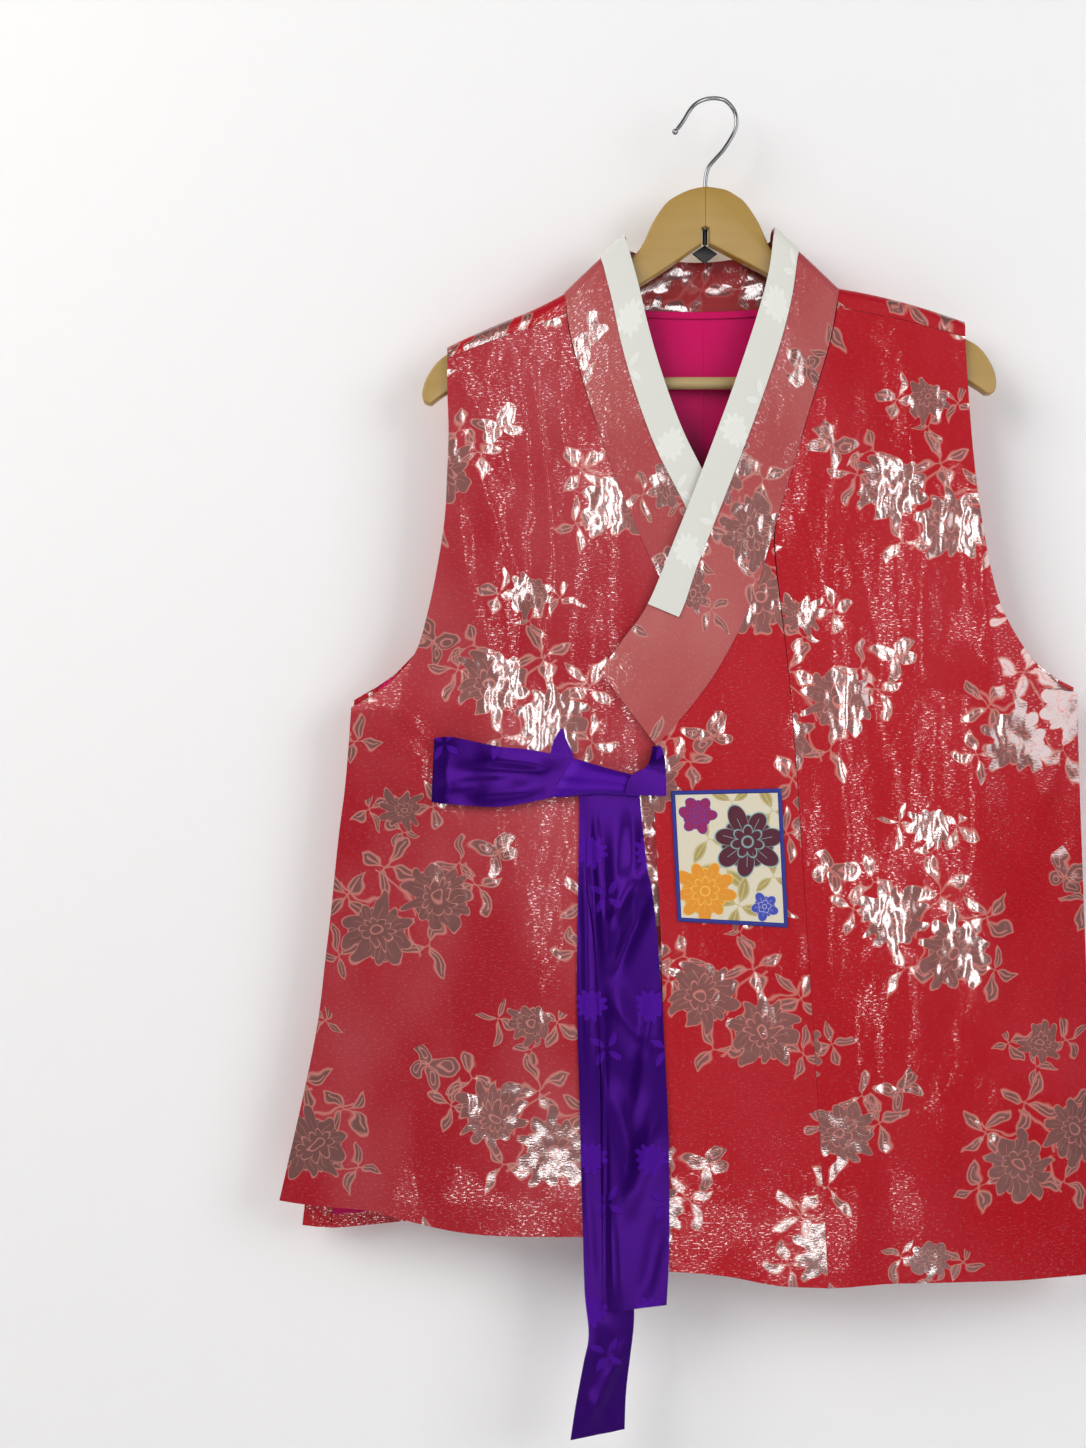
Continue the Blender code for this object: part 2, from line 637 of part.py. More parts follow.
def make_collar(collection):
    """Red collar band and the white detachable band on it."""
    rails = collar_rails()
    band = []
    for neck, seam in rails:
        white = WHITE_WIDTH / (seam - neck).length
        band.append([neck.lerp(seam, share) for share in (0.0, white / 2, white, (1 + white) / 2, 1.0)])
    add_wall("git", band, "collar_brocade", CLOTH, collection)
    left_rows = len(smooth(COLLAR_LEFT, COLLAR_STEPS))
    right_rows = len(smooth(COLLAR_RIGHT, COLLAR_STEPS))
    first = left_rows - 1 - WHITE_END_LEFT
    last = len(rails) - right_rows + WHITE_END_RIGHT
    white = [row[:3] for row in moved(band, -ON_CLOTH - WHITE_EASE)[first:last + 1]]
    corner_x, corner_z = WHITE_CORNER
    corner = right_front(corner_x, corner_z, ON_CLOTH)
    white[-1] = [white[-1][0].lerp(corner, share) for share in even(2)]
    add_wall("dongjeong", white, "white_satin", TRIM, collection)


def make_neck_piping(collection):
    """Narrow band of lining cloth that binds the back neck seam inside."""
    seam = [point for point in COLLAR_SEAM_BACK if PIPING_LEFT <= point[0] <= PIPING_RIGHT]
    lift = -(ON_CLOTH + GAP + TRIM)
    grid = [[back(x, z + PIPING_ABOVE, lift), back(x, z - PIPING_BELOW, lift)]
            for x, z in spaced(seam, 2 * NECK_ROWS)]
    return add_wall("neck_piping", grid, "pink_lining", TRIM, collection)


def ribbon_point(x, z, lift):
    """Place a ribbon point at a lift from the left front, over which the ribbons hang."""
    return left_front(x, z, lift)


def make_strip(name, table, columns, collection):
    """Ribbon strip from a table of its two edges."""
    grid = []
    for left_x, left_z, right_x, right_z, left_lift, right_lift in smooth(table, 2):
        row = []
        for share in even(columns):
            x, z, lift = mix((left_x, left_z, left_lift), (right_x, right_z, right_lift), share)
            row.append(ribbon_point(x, z, lift))
        grid.append(row)
    return add_wall(name, grid, "purple_satin", TRIM, collection)


def make_loop(collection):
    """Half bow: one band that goes out to the left, folds and comes back."""
    grid = []
    for top_x, top_z, bottom_x, bottom_z, lift in smooth(LOOP, 2):
        edge = [mix((top_x, top_z), (bottom_x, bottom_z), share) for share in even(3)]
        grid.append([ribbon_point(x, z, lift) for x, z in edge])
    return add_wall("goreum_loop", grid, "purple_satin", TRIM, collection)


def make_knot(collection):
    """Knot of the tied ribbons: a loft through oval rings that lean and grow."""
    solid = bmesh.new()
    rings = []
    for top_x, top_z, bottom_x, bottom_z, near, far in smooth(KNOT, 2):
        ring = []
        for side in range(KNOT_SIDES):
            angle = 2 * math.pi * side / KNOT_SIDES
            share = 0.5 - 0.5 * math.cos(angle)
            x, z = mix((top_x, top_z), (bottom_x, bottom_z), share)
            middle = (near + far) / 2
            lift = middle + (far - near) / 2 * math.sin(angle)
            ring.append(solid.verts.new(ribbon_point(x, z, lift) * MM))
        rings.append(ring)
    for first, second in zip(rings, rings[1:]):
        for side in range(KNOT_SIDES):
            follow = (side + 1) % KNOT_SIDES
            solid.faces.new((first[side], first[follow], second[follow], second[side]))
    solid.faces.new(rings[0])
    solid.faces.new(rings[-1])
    bmesh.ops.recalc_face_normals(solid, faces=solid.faces)
    mesh = bpy.data.meshes.new("goreum_knot")
    solid.to_mesh(mesh)
    solid.free()
    return add_object("goreum_knot", mesh, "purple_satin", collection)


def patch_point(across, down, lift):
    """Place a point of the patch, by its shares across and down, on the gusset."""
    upper = mix(PATCH[0], PATCH[1], across)
    lower = mix(PATCH[3], PATCH[2], across)
    x, z = mix(upper, lower, down)
    return right_front(x, z, lift)


def make_patch(collection):
    """Sewn-on patch: its ground and the narrow binding round it, side by side."""
    width = PATCH[1][0] - PATCH[0][0]
    height = PATCH[0][1] - PATCH[3][1]
    rim_x = BINDING / width
    rim_z = BINDING / height
    gap_x = GAP / width
    gap_z = GAP / height
    inner_x = [rim_x + gap_x + (1 - 2 * rim_x - 2 * gap_x) * share for share in even(PATCH_COLUMNS)]
    inner_z = [rim_z + gap_z + (1 - 2 * rim_z - 2 * gap_z) * share for share in even(PATCH_ROWS)]
    ground = [[patch_point(across, down, ON_CLOTH) for across in inner_x] for down in inner_z]
    add_wall("patch_ground", ground, "cream_satin", TRIM, collection)

    marks_x = [0.0, rim_x] + [rim_x + (1 - 2 * rim_x) * share for share in even(PATCH_COLUMNS)][1:-1]
    marks_x += [1 - rim_x, 1.0]
    marks_z = [0.0, rim_z] + [rim_z + (1 - 2 * rim_z) * share for share in even(PATCH_ROWS)][1:-1]
    marks_z += [1 - rim_z, 1.0]
    frame = [[patch_point(across, down, ON_CLOTH) for across in marks_x] for down in marks_z]
    piece = add_wall("patch_binding", frame, "blue_binding", TRIM, collection)
    ring = bmesh.new()
    ring.from_mesh(piece.data)
    inner = [face for face in ring.faces
             if all(len(edge.link_faces) == 2 for edge in face.edges)]
    bmesh.ops.delete(ring, geom=inner, context="FACES")
    ring.to_mesh(piece.data)
    ring.free()


def curve_mesh(name, curve_data):
    """Turn a curve into a welded mesh, so that it can be cut."""
    holder = bpy.data.objects.new(name + "_curve", curve_data)
    bpy.context.scene.collection.objects.link(holder)
    bpy.context.view_layer.update()
    evaluated = holder.evaluated_get(bpy.context.evaluated_depsgraph_get())
    mesh = bpy.data.meshes.new_from_object(evaluated)
    solid = bmesh.new()
    solid.from_mesh(mesh)
    bmesh.ops.remove_doubles(solid, verts=solid.verts, dist=0.00001)
    bmesh.ops.recalc_face_normals(solid, faces=solid.faces)
    solid.to_mesh(mesh)
    solid.free()
    bpy.data.objects.remove(holder)
    bpy.data.curves.remove(curve_data)
    return mesh


def flat_outline(name, outline, thickness, rounding):
    """Flat board from its outline, with softly rounded edges, standing in the XZ plane."""
    data = bpy.data.curves.new(name, "CURVE")
    data.dimensions = "2D"
    data.fill_mode = "BOTH"
    data.extrude = (thickness / 2 - rounding) * MM
    data.bevel_depth = rounding * MM
    data.bevel_resolution = 1
    data.offset = -rounding * MM
    spline = data.splines.new("POLY")
    spline.points.add(len(outline) - 1)
    for point, (x, z) in zip(spline.points, outline):
        point.co = (x * MM, z * MM, 0.0, 1.0)
    spline.use_cyclic_u = True
    mesh = curve_mesh(name, data)
    for vertex in mesh.vertices:
        x, z, y = vertex.co
        vertex.co = (x, -y, z)
    return mesh


def add_cutter(name, cutters):
    """Round bore for the hook's shank, up through the joint of the two wood halves."""
    bore = bmesh.new()
    bmesh.ops.create_cone(bore, cap_ends=True, segments=16, radius1=(WIRE_RADIUS + GAP) * MM,
                          radius2=(WIRE_RADIUS + GAP) * MM, depth=BORE_LENGTH * MM)
    for vertex in bore.verts:
        vertex.co += Vector((WOOD_JOINT, 0.0, BORE_MIDDLE)) * MM
    mesh = bpy.data.meshes.new(name)
    bore.to_mesh(mesh)
    bore.free()
    cutter = bpy.data.objects.new(name, mesh)
    cutter.hide_render = True
    cutter.display_type = "WIRE"
    cutters.objects.link(cutter)
    return cutter


def make_hanger(collection, cutters):
    """Two wood halves, the trouser bar, the wire hook and the dark fitting in the middle."""
    bore = add_cutter("hook_bore", cutters)
    for name, outline, side in (("hanger_arm_left", WOOD_LEFT, -1), ("hanger_arm_right", WOOD_RIGHT, 1)):
        shape = [(x + side * GAP / 2 if abs(x - WOOD_JOINT) < 0.01 else x, z) for x, z in outline]
        mesh = flat_outline(name, shape, WOOD_THICKNESS, WOOD_ROUND)
        piece = add_object(name, mesh, "pale_wood", collection)
        cut = piece.modifiers.new("shank_bore", "BOOLEAN")
        cut.operation = "DIFFERENCE"
        cut.solver = "EXACT"
        cut.object = bore
    make_bar(collection)
    make_hook(collection)
    make_fitting(collection)


def make_bar(collection):
    """Round trouser bar between the two arms."""
    rod = bmesh.new()
    bmesh.ops.create_cone(rod, cap_ends=True, segments=16, radius1=BAR_RADIUS * MM,
                          radius2=BAR_RADIUS * MM, depth=(BAR_RIGHT - BAR_LEFT) * MM)
    middle = (BAR_LEFT + BAR_RIGHT) / 2
    for vertex in rod.verts:
        x, y, z = vertex.co
        vertex.co = Vector((z + middle * MM, y, BAR_HEIGHT * MM - x))
    mesh = bpy.data.meshes.new("hanger_bar")
    rod.to_mesh(mesh)
    rod.free()
    add_object("hanger_bar", mesh, "pale_wood", collection)


def make_hook(collection):
    """Bent wire hook with a ball on its free end."""
    data = bpy.data.curves.new("hanger_hook", "CURVE")
    data.dimensions = "3D"
    data.bevel_depth = WIRE_RADIUS * MM
    data.bevel_resolution = 2
    data.use_fill_caps = True
    route = smooth(HOOK, 2)
    spline = data.splines.new("POLY")
    spline.points.add(len(route) - 1)
    for point, (x, z) in zip(spline.points, route):
        point.co = (x * MM, 0.0, z * MM, 1.0)
    add_object("hanger_hook", curve_mesh("hanger_hook", data), "chrome", collection)

    ball = bmesh.new()
    bmesh.ops.create_uvsphere(ball, u_segments=14, v_segments=9, radius=HOOK_TIP_RADIUS * MM)
    away = Vector((HOOK_TIP[0] - HOOK[0][0], 0.0, HOOK_TIP[1] - HOOK[0][1])).normalized()
    centre = Vector((HOOK[0][0], 0.0, HOOK[0][1])) + away * (HOOK_TIP_RADIUS + GAP)
    for vertex in ball.verts:
        vertex.co += centre * MM
    mesh = bpy.data.meshes.new("hanger_hook_tip")
    ball.to_mesh(mesh)
    ball.free()
    add_object("hanger_hook_tip", mesh, "chrome", collection)


def make_fitting(collection):
    """Dark pin in the notch under the shank, and the small dark plate below it."""
    pin = bmesh.new()
    bmesh.ops.create_cone(pin, cap_ends=True, segments=14, radius1=PIN_RADIUS * MM,
                          radius2=PIN_RADIUS * MM, depth=PIN_LENGTH * MM)
    for vertex in pin.verts:
        vertex.co += Vector((WOOD_JOINT, 0.0, PIN_TOP - PIN_LENGTH / 2)) * MM
    mesh = bpy.data.meshes.new("hanger_pin")
    pin.to_mesh(mesh)
    pin.free()
    add_object("hanger_pin", mesh, "dark_metal", collection)
    plate = flat_outline("hanger_clip", CLIP, PLATE_THICKNESS, PLATE_ROUND)
    add_object("hanger_clip", plate, "dark_metal", collection)


def build():
    for leftover in list(bpy.data.objects):
        bpy.data.objects.remove(leftover)
    collection = bpy.data.collections.new("hanbok_on_hanger")
    cutters = bpy.data.collections.new("cutters")
    bpy.context.scene.collection.children.link(collection)
    bpy.context.scene.collection.children.link(cutters)
    make_front_left(collection)
    make_front_right(collection)
    make_seop_right(collection)
    for side in ("left", "right"):
        make_back(side, collection)
    make_collar(collection)
    make_neck_piping(collection)
    make_strip("goreum_tail_rear", TAIL_REAR, 3, collection)
    make_strip("goreum_tail_front", TAIL_FRONT, 3, collection)
    make_strip("goreum_tie", TIE, 2, collection)
    make_strip("goreum_peak", PEAK, 2, collection)
    make_loop(collection)
    make_knot(collection)
    make_patch(collection)
    make_hanger(collection, cutters)


build()
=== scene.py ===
# %% [markdown]
# # A sleeveless hanbok top on a wooden hanger
#
# This lesson builds the looks of a long Korean vest that hangs flat from a hanger.
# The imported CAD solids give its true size. Every cloth solid is replaced here by a thin, finely
# creased shell on the same form, and each shell gets a brocade or satin that is all shader nodes.

import math

import bmesh
import bpy
import numpy as np
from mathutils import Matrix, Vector


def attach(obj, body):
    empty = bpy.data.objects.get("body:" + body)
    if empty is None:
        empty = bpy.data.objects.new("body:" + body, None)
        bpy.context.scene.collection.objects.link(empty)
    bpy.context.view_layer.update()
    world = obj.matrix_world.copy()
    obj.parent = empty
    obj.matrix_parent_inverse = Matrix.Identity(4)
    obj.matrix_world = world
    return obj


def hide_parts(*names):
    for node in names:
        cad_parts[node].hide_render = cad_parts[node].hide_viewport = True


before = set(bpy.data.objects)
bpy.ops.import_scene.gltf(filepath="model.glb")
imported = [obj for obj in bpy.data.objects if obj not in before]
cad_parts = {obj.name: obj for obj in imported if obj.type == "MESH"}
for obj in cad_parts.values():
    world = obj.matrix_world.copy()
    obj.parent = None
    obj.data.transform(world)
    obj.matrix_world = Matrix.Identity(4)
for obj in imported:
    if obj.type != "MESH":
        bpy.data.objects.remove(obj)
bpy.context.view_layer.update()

# %% [markdown]
# ## The sizes
#
# All sizes and tables are in millimetres and are the same ones that the solids were built from.
# X runs to the viewer's right, Y away from the viewer and Z up. The origin is where the hook rests.
# Each table stands at the head of the cell that first needs it.

# %% Sizes of the cloth and its seams
MM = 0.001
# Walls of the shells
PANEL_WALL = 1.3
TRIM_WALL = 0.9
RIBBON_WALL = 0.8
# How near two points have to be to be welded, in metres
WELD = 0.000005
# Walls of the solids, the gap between two layers, and from them the lift of a trim on a panel
CLOTH = 1.5
TRIM = 1.0
GAP = 0.3
ON_CLOTH = CLOTH / 2 + GAP + TRIM / 2
SIDE_SEAM_DEPTH = (CLOTH + GAP) / 2
# Slit between two panels at a seam, and how far the collar lies over its own seam
SEAM_GAP = 0.15
COLLAR_OVER = 0.7
# Lap of the right front over the left: its step, and where it eases in from the side and the top
LAP = 4.0
LAP_SIDE = 150.0
LAP_WIDTH = 60.0
LAP_TOP = -165.0
LAP_FALL = 90.0
# How far in from the side the cloth reaches its full depth, and how full it is there
SIDE_ROUND = 160.0
SIDE_FULLNESS = 0.8
# Share of a fold's length in which it rises
FOLD_TAPER = 0.35
# The back: its centre seam, and the roll over the hanger
BACK_CENTRE = -2.0
WRAP_DEPTH = 9.5
WRAP_RISE = 6.0
WRAP_LENGTH = 24.7
WRAP_CLEAR = 4.0
# The gusset's point above its seam
SEOP_POINT = 16.0
# The collar leans in behind the neck
COLLAR_LEAN = 3.0
COLLAR_LEAN_WIDTH = 60.0
print("wall of a panel:", PANEL_WALL, "mm, gap between layers:", GAP, "mm")

# %% [markdown]
# A garment that hangs flat is mostly its outline, so the outlines carry the likeness. Each one is
# a short list of places in the plane of the cloth. A smooth curve goes through them later on.

# %% Outlines of the panels
# Standing depth of the cloth from the middle plane: height, middle, side edge
BODY_DEPTH = (
    (-100, 9.5, 9.5),
    (-205, 9.8, 9.5),
    (-300, 12.5, 9.2),
    (-400, 15.5, 6.0),
    (-468, 17.5, SIDE_SEAM_DEPTH),
    (-560, 19.0, SIDE_SEAM_DEPTH),
    (-728, 22.0, SIDE_SEAM_DEPTH),
    (-790, 23.0, 3.0),
    (-925, 24.5, 5.0),
)

# Outlines in the plane of the cloth: x, z
RIDGE_LEFT = ((-210, -198), (-187, -187), (-163, -176.5), (-136, -165.5), (-110, -152))
RIDGE_RIGHT = ((101, -148.5), (134, -155), (168, -164), (210, -178))
SHOULDER_SEAM_LEFT = ((-204, -205), (-171, -192), (-139, -181), (-111, -170))
SHOULDER_SEAM_RIGHT = ((201, -188), (152, -175), (117, -168), (101.2, -163.3))
ARMHOLE_LEFT = (
    (-204, -205), (-204, -231), (-203, -262), (-204, -293), (-206, -330), (-212, -368),
    (-219, -401), (-229, -434), (-248, -457), (-268, -471), (-280, -478),
)
ARMHOLE_RIGHT = (
    (201, -188), (204, -239), (208, -286), (214, -331), (222, -373), (231, -401),
    (245, -426), (261, -447), (277, -460), (291, -467),
)
SIDE_LEFT = (
    (-280, -478), (-282, -507), (-285, -542), (-290, -581), (-296, -640), (-300, -674),
    (-306, -725), (-317, -781), (-336, -865),
)
SIDE_RIGHT = ((291, -467), (292, -511), (296, -628), (300, -729), (304, -822), (308, -921))
HEM_FRONT_LEFT = (
    (-336, -865), (-300, -867.5), (-263, -869), (-243, -874), (-201, -883), (-161, -887),
    (-99, -888), (-30, -890), (26, -892),
)
HEM_SEOP = ((91, -926), (52, -924), (12, -917), (-32, -913))
HEM_FRONT_RIGHT = ((308, -921), (243, -923), (190, -923), (134, -924), (91, -926))
HEM_BACK_LEFT = (
    (-320, -888), (-303, -891), (-285, -891), (-236, -888), (-188, -887), (-100, -894), (-2, -903),
)
HEM_BACK_RIGHT = ((305, -925), (240, -921), (150, -915), (70, -908), (-2, -903))
UNDERLAP_EDGE = ((36, -507), (36, -560), (33, -700), (26, -892))
SEOP_EDGE = ((-42, -507), (-43, -550), (-41, -597), (-38, -659), (-35, -780), (-32, -913))
SEOP_SEAM = ((51, -335), (51, -363), (63, -472), (75, -651), (91, -926))
BACK_SIDE_LEFT = (
    (-278, -472), (-281, -507), (-284, -542), (-289, -581), (-295, -640), (-299, -674),
    (-304, -725), (-308, -781), (-320, -888),
)
BACK_UNDERARM_LEFT = ((-246, -452), (-266, -466), (-278, -472))
BACK_UNDERARM_RIGHT = ((259, -442), (275, -455), (289, -462))
BACK_SIDE_RIGHT = ((289, -462), (291, -511), (295, -628), (299, -729), (302, -822), (305, -925))

print("points in the panels' outlines:", sum(len(table) for table in (
    ARMHOLE_LEFT, ARMHOLE_RIGHT, SIDE_LEFT, SIDE_RIGHT, HEM_FRONT_LEFT, HEM_FRONT_RIGHT,
    HEM_SEOP, HEM_BACK_LEFT, HEM_BACK_RIGHT, UNDERLAP_EDGE, SEOP_EDGE, SEOP_SEAM)))

# %% Outlines of the collar
# Collar band, from each shoulder down: neck edge x, z and sewn edge x, z
COLLAR_LEFT = (
    (-64, -114, -111, -158), (-55, -146, -107, -187), (-47, -180, -99, -216),
    (-36, -218, -88, -252), (-20, -262, -72, -298), (2, -307, -50, -350),
    (38, -385, -12, -428), (78, -450, 36, -507),
)
COLLAR_RIGHT = (
    (51, -108, 101, -154.5), (47, -138, 96, -184), (38, -172, 88, -213),
    (26, -208, 77, -248), (12, -247, 65, -288), (-5, -292, 50, -338),
    (-26, -345, 32, -396), (-48, -398, 8, -444), (-67, -425, -16, -478),
    (-85, -450, -42, -507),
)
COLLAR_BACK = (
    (-64, -114, -111, -158), (-50, -119, -88, -163), (-28, -123, -50, -166),
    (-2, -124, -2, -167), (26, -121, 44, -165), (42, -115, 76, -160), (51, -108, 101, -154.5),
)
print("widest collar:", max(round(math.dist(row[:2], row[2:]), 1) for row in COLLAR_RIGHT), "mm")

# %% [markdown]
# ## Curves through the tables
#
# A few small functions turn short tables into smooth outlines. They work on whole arrays of points.

# %% Outlines
CURVE_STEPS = 8


def ease(value):
    """Go smoothly from 0 to 1 while the value does."""
    value = np.clip(value, 0.0, 1.0)
    return value * value * (3.0 - 2.0 * value)


def between(first, second, share):
    """Give the places at a share of the way from one line to another."""
    return first * (1 - share) + second * share


def smooth(rows, steps=CURVE_STEPS):
    """Pass a smooth curve through the rows of a table."""
    rows = np.array(rows, float)
    ends = np.vstack([rows[:1], rows, rows[-1:]])
    t = (np.arange(steps) / steps)[:, None]
    spans = [0.5 * (2 * b + (c - a) * t + (2 * a - 5 * b + 4 * c - d) * t ** 2
                    + (3 * b - a - 3 * c + d) * t ** 3)
             for a, b, c, d in zip(ends, ends[1:], ends[2:], ends[3:])]
    return np.vstack(spans + [rows[-1:]])


def at_share(curve, shares):
    """Give the points at some shares of the curve's length."""
    steps = np.linalg.norm(np.diff(curve, axis=0), axis=1)
    length = np.concatenate([[0.0], np.cumsum(steps)])
    wanted = np.asarray(shares) * length[-1]
    return np.stack([np.interp(wanted, length, column) for column in curve.T], axis=-1)


def spaced(curve, count):
    """Divide a curve into equal steps."""
    return at_share(curve, np.linspace(0, 1, count + 1))


def x_at(curve, height):
    """Give the x of a falling curve at some heights."""
    return np.interp(-np.asarray(height), -curve[:, 1], curve[:, 0])


def points_at(curve, height):
    """Give the points of a falling curve at some heights."""
    return np.stack([x_at(curve, height), height], axis=-1)


def below(curve, height):
    """Keep the part of a falling curve under a height."""
    return np.vstack([points_at(curve, np.array([height])), curve[curve[:, 1] < height - 0.5]])


RIDGES = (smooth(RIDGE_LEFT), smooth(RIDGE_RIGHT))
OUTLINE_LEFT = np.vstack([smooth(ARMHOLE_LEFT), smooth(SIDE_LEFT)[1:]])
OUTLINE_RIGHT = np.vstack([smooth(ARMHOLE_RIGHT), smooth(SIDE_RIGHT)[1:]])
DEPTHS = smooth(BODY_DEPTH)
SEAM_LEFT = smooth(COLLAR_LEFT)[:, 2:]
SEAM_RIGHT = smooth(COLLAR_RIGHT)[:, 2:]
SEAM_BACK = smooth(COLLAR_BACK)[:, 2:]
widest = OUTLINE_RIGHT[:, 0].max() - OUTLINE_LEFT[:, 0].min()
print("widest outline:", round(float(widest), 1), "mm")

# %% [markdown]
# ## The form of the hanging cloth
#
# The cloth stands a little off the middle plane, most in the middle of the chest and least at the
# side seams. Large folds, small creases and a slow ripple are added to that depth. A fold is a soft
# ridge, and a negative height makes it a trough.

# %% Folds and creases
# Largest folds: upper end x, z, lower end x, z, half width, height
FOLDS_LEFT = (
    (-152, -215, -166, -400, 13, 2.0),
    (-122, -230, -128, -430, 10, 1.6),
    (-196, -262, -160, -345, 10, 1.4),
    (-262, -500, -196, -575, 13, 1.8),
    (-132, -560, -118, -880, 20, 2.4),
    (-282, -640, -236, -868, 24, 2.8),
    (-190, -760, -196, -885, 16, 1.6),
)
FOLDS_RIGHT = (
    (150, -230, 168, -420, 18, 1.8),
    (198, -400, 228, -640, 26, 3.2),
    (252, -700, 284, -915, 24, 3.0),
    (136, -560, 150, -915, 28, 2.4),
)
FOLDS_BACK = (
    (-130, -330, -190, -600, 26, 2.6),
    (120, -330, 176, -620, 26, 2.6),
    (-60, -480, -84, -880, 30, 3.0),
    (70, -520, 104, -900, 30, 3.0),
    (-215, -560, -250, -870, 22, 2.2),
    (222, -560, 248, -900, 22, 2.2),
)

# Small creases: upper end x, z, lower end x, z, half width, height. Minus is a trough.
CREASES_LEFT = (
    (-150, -186, -134, -335, 5, -0.9), (-136, -196, -116, -395, 4.5, 0.8),
    (-170, -205, -176, -330, 6, 0.6), (-118, -205, -106, -330, 4, -0.6),
    (-196, -222, -150, -300, 4.5, 0.7), (-200, -300, -184, -425, 6, 0.9),
    (-160, -330, -120, -470, 5, 0.8), (-140, -350, -150, -470, 5, -0.7),
    (-270, -484, -212, -530, 4.5, 0.9), (-258, -505, -188, -545, 5, -0.9),
    (-250, -474, -222, -500, 4, 0.7), (-128, -400, -110, -530, 5, 0.8),
    (-104, -480, -102, -600, 4, 0.9), (-116, -600, -104, -760, 6, 0.9),
    (-150, -640, -134, -850, 8, -0.8), (-232, -640, -214, -850, 9, 0.9),
    (-262, -720, -252, -868, 7, -0.8), (-180, -590, -196, -700, 9, 0.7),
    (-300, -700, -288, -860, 7, 0.9), (-210, -800, -150, -872, 10, 0.6),
    (-60, -600, -70, -880, 9, 0.7),
)
CREASES_RIGHT = (
    (150, -186, 166, -330, 6, 0.7), (206, -290, 226, -470, 7, 0.9),
    (240, -430, 264, -570, 6, 0.9), (216, -450, 242, -640, 8, -0.9),
    (130, -320, 150, -520, 8, 0.7), (178, -350, 192, -560, 7, -0.7),
    (262, -640, 290, -860, 8, 0.9), (230, -640, 252, -800, 7, -0.9),
    (112, -690, 120, -900, 8, 0.7), (182, -760, 188, -920, 9, 0.8),
    (100, -470, 108, -640, 7, 0.6), (280, -480, 262, -560, 4.5, 0.8),
    (286, -560, 276, -720, 6, 0.7), (12, -690, 20, -900, 10, 0.7),
    (-14, -560, -10, -700, 7, 0.6), (60, -560, 66, -700, 6, -0.5),
)
CREASES_BACK = (
    (-160, -260, -176, -430, 8, 0.9), (150, -260, 172, -440, 8, 0.9),
    (-70, -240, -60, -420, 9, 0.7), (64, -240, 58, -420, 9, 0.7),
    (-250, -500, -200, -560, 6, 0.9), (250, -490, 204, -560, 6, 0.9),
    (-130, -620, -150, -860, 10, 0.9), (140, -640, 160, -880, 10, 0.9),
    (-30, -600, -36, -860, 9, 0.7), (36, -620, 30, -870, 9, 0.7),
    (-280, -700, -290, -850, 8, 0.8), (270, -700, 284, -880, 8, 0.8),
)
# Slow ripples: length across, lean, start, height
RIPPLES = (
    (61.0, 0.3, 0.0, 0.28), (83.0, 1.1, 1.7, 0.24), (47.0, -0.8, 3.1, 0.16),
    (127.0, 0.1, 4.4, 0.4),
)
# How a ripple bends down and across the cloth: height and length of the bend
BEND_DOWN = (0.9, 97.0)
BEND_ACROSS = (0.6, 71.0)
LEAN_SHARE = 0.35
RIPPLE_TOP = -150.0
RIPPLE_FALL = 80.0
RIPPLE_DEPTH = 9.0
BACK_RIPPLE_SHIFT = 40.0
print("folds and creases:", sum(len(table) for table in (
    FOLDS_LEFT, FOLDS_RIGHT, FOLDS_BACK, CREASES_LEFT, CREASES_RIGHT, CREASES_BACK)))

# %% Depth of the cloth


def half_depth(x, z):
    """Give how far the smooth cloth is from the middle plane."""
    middle = np.interp(-z, -DEPTHS[:, 0], DEPTHS[:, 1])
    edge = np.maximum(np.interp(-z, -DEPTHS[:, 0], DEPTHS[:, 2]), SIDE_SEAM_DEPTH)
    inside = np.minimum(x - x_at(OUTLINE_LEFT, z), x_at(OUTLINE_RIGHT, z) - x)
    spread = np.clip(inside / SIDE_ROUND, 0.0, 1.0)
    return edge + (middle - edge) * np.sin(spread * math.pi / 2) ** SIDE_FULLNESS


def fold_height(folds, x, z):
    """Add up soft ridges that die out at both ends."""
    total = np.zeros(np.broadcast(x, z).shape)
    for x_top, z_top, x_end, z_end, width, height in folds:
        run_x = x_end - x_top
        run_z = z_end - z_top
        length = math.hypot(run_x, run_z)
        along = ((x - x_top) * run_x + (z - z_top) * run_z) / length
        off = ((x - x_top) * run_z - (z - z_top) * run_x) / length
        run_in = FOLD_TAPER * length
        taper = ease(along / run_in) * ease((length - along) / run_in + FOLD_TAPER)
        total = total + height * taper * np.exp(-0.5 * (off / width) ** 2)
    return total


def ripple(x, z):
    """Slow uneven waves, from a few crossing sines that bend each other.

    They start below the shoulders and die out where the cloth lies flat.
    """
    total = np.zeros(np.broadcast(x, z).shape)
    for wave, lean, start, height in RIPPLES:
        bend = (BEND_DOWN[0] * np.sin(z / BEND_DOWN[1] + start)
                + BEND_ACROSS[0] * np.sin(x / BEND_ACROSS[1] - start))
        across = 2 * math.pi * (x + lean * LEAN_SHARE * z) / wave
        total = total + height * np.sin(across + start + bend)
    return total * ease((RIPPLE_TOP - z) / RIPPLE_FALL) * ease(half_depth(x, z) / RIPPLE_DEPTH)


def lap_height(x, z):
    """Step of the right front over the left one, where the two overlap."""
    return LAP * ease((LAP_SIDE - x) / LAP_WIDTH) * ease((LAP_TOP - z) / LAP_FALL)


def place(x, depth, z):
    """Put x, depth and height together as points."""
    return np.stack(np.broadcast_arrays(x, depth, z), axis=-1).astype(float)


def left_front(x, z, lift=0.0):
    """Place points on the front on the viewer's left."""
    creased = fold_height(FOLDS_LEFT, x, z) + fold_height(CREASES_LEFT, x, z) + ripple(x, z)
    return place(x, -(half_depth(x, z) + creased + lift), z)


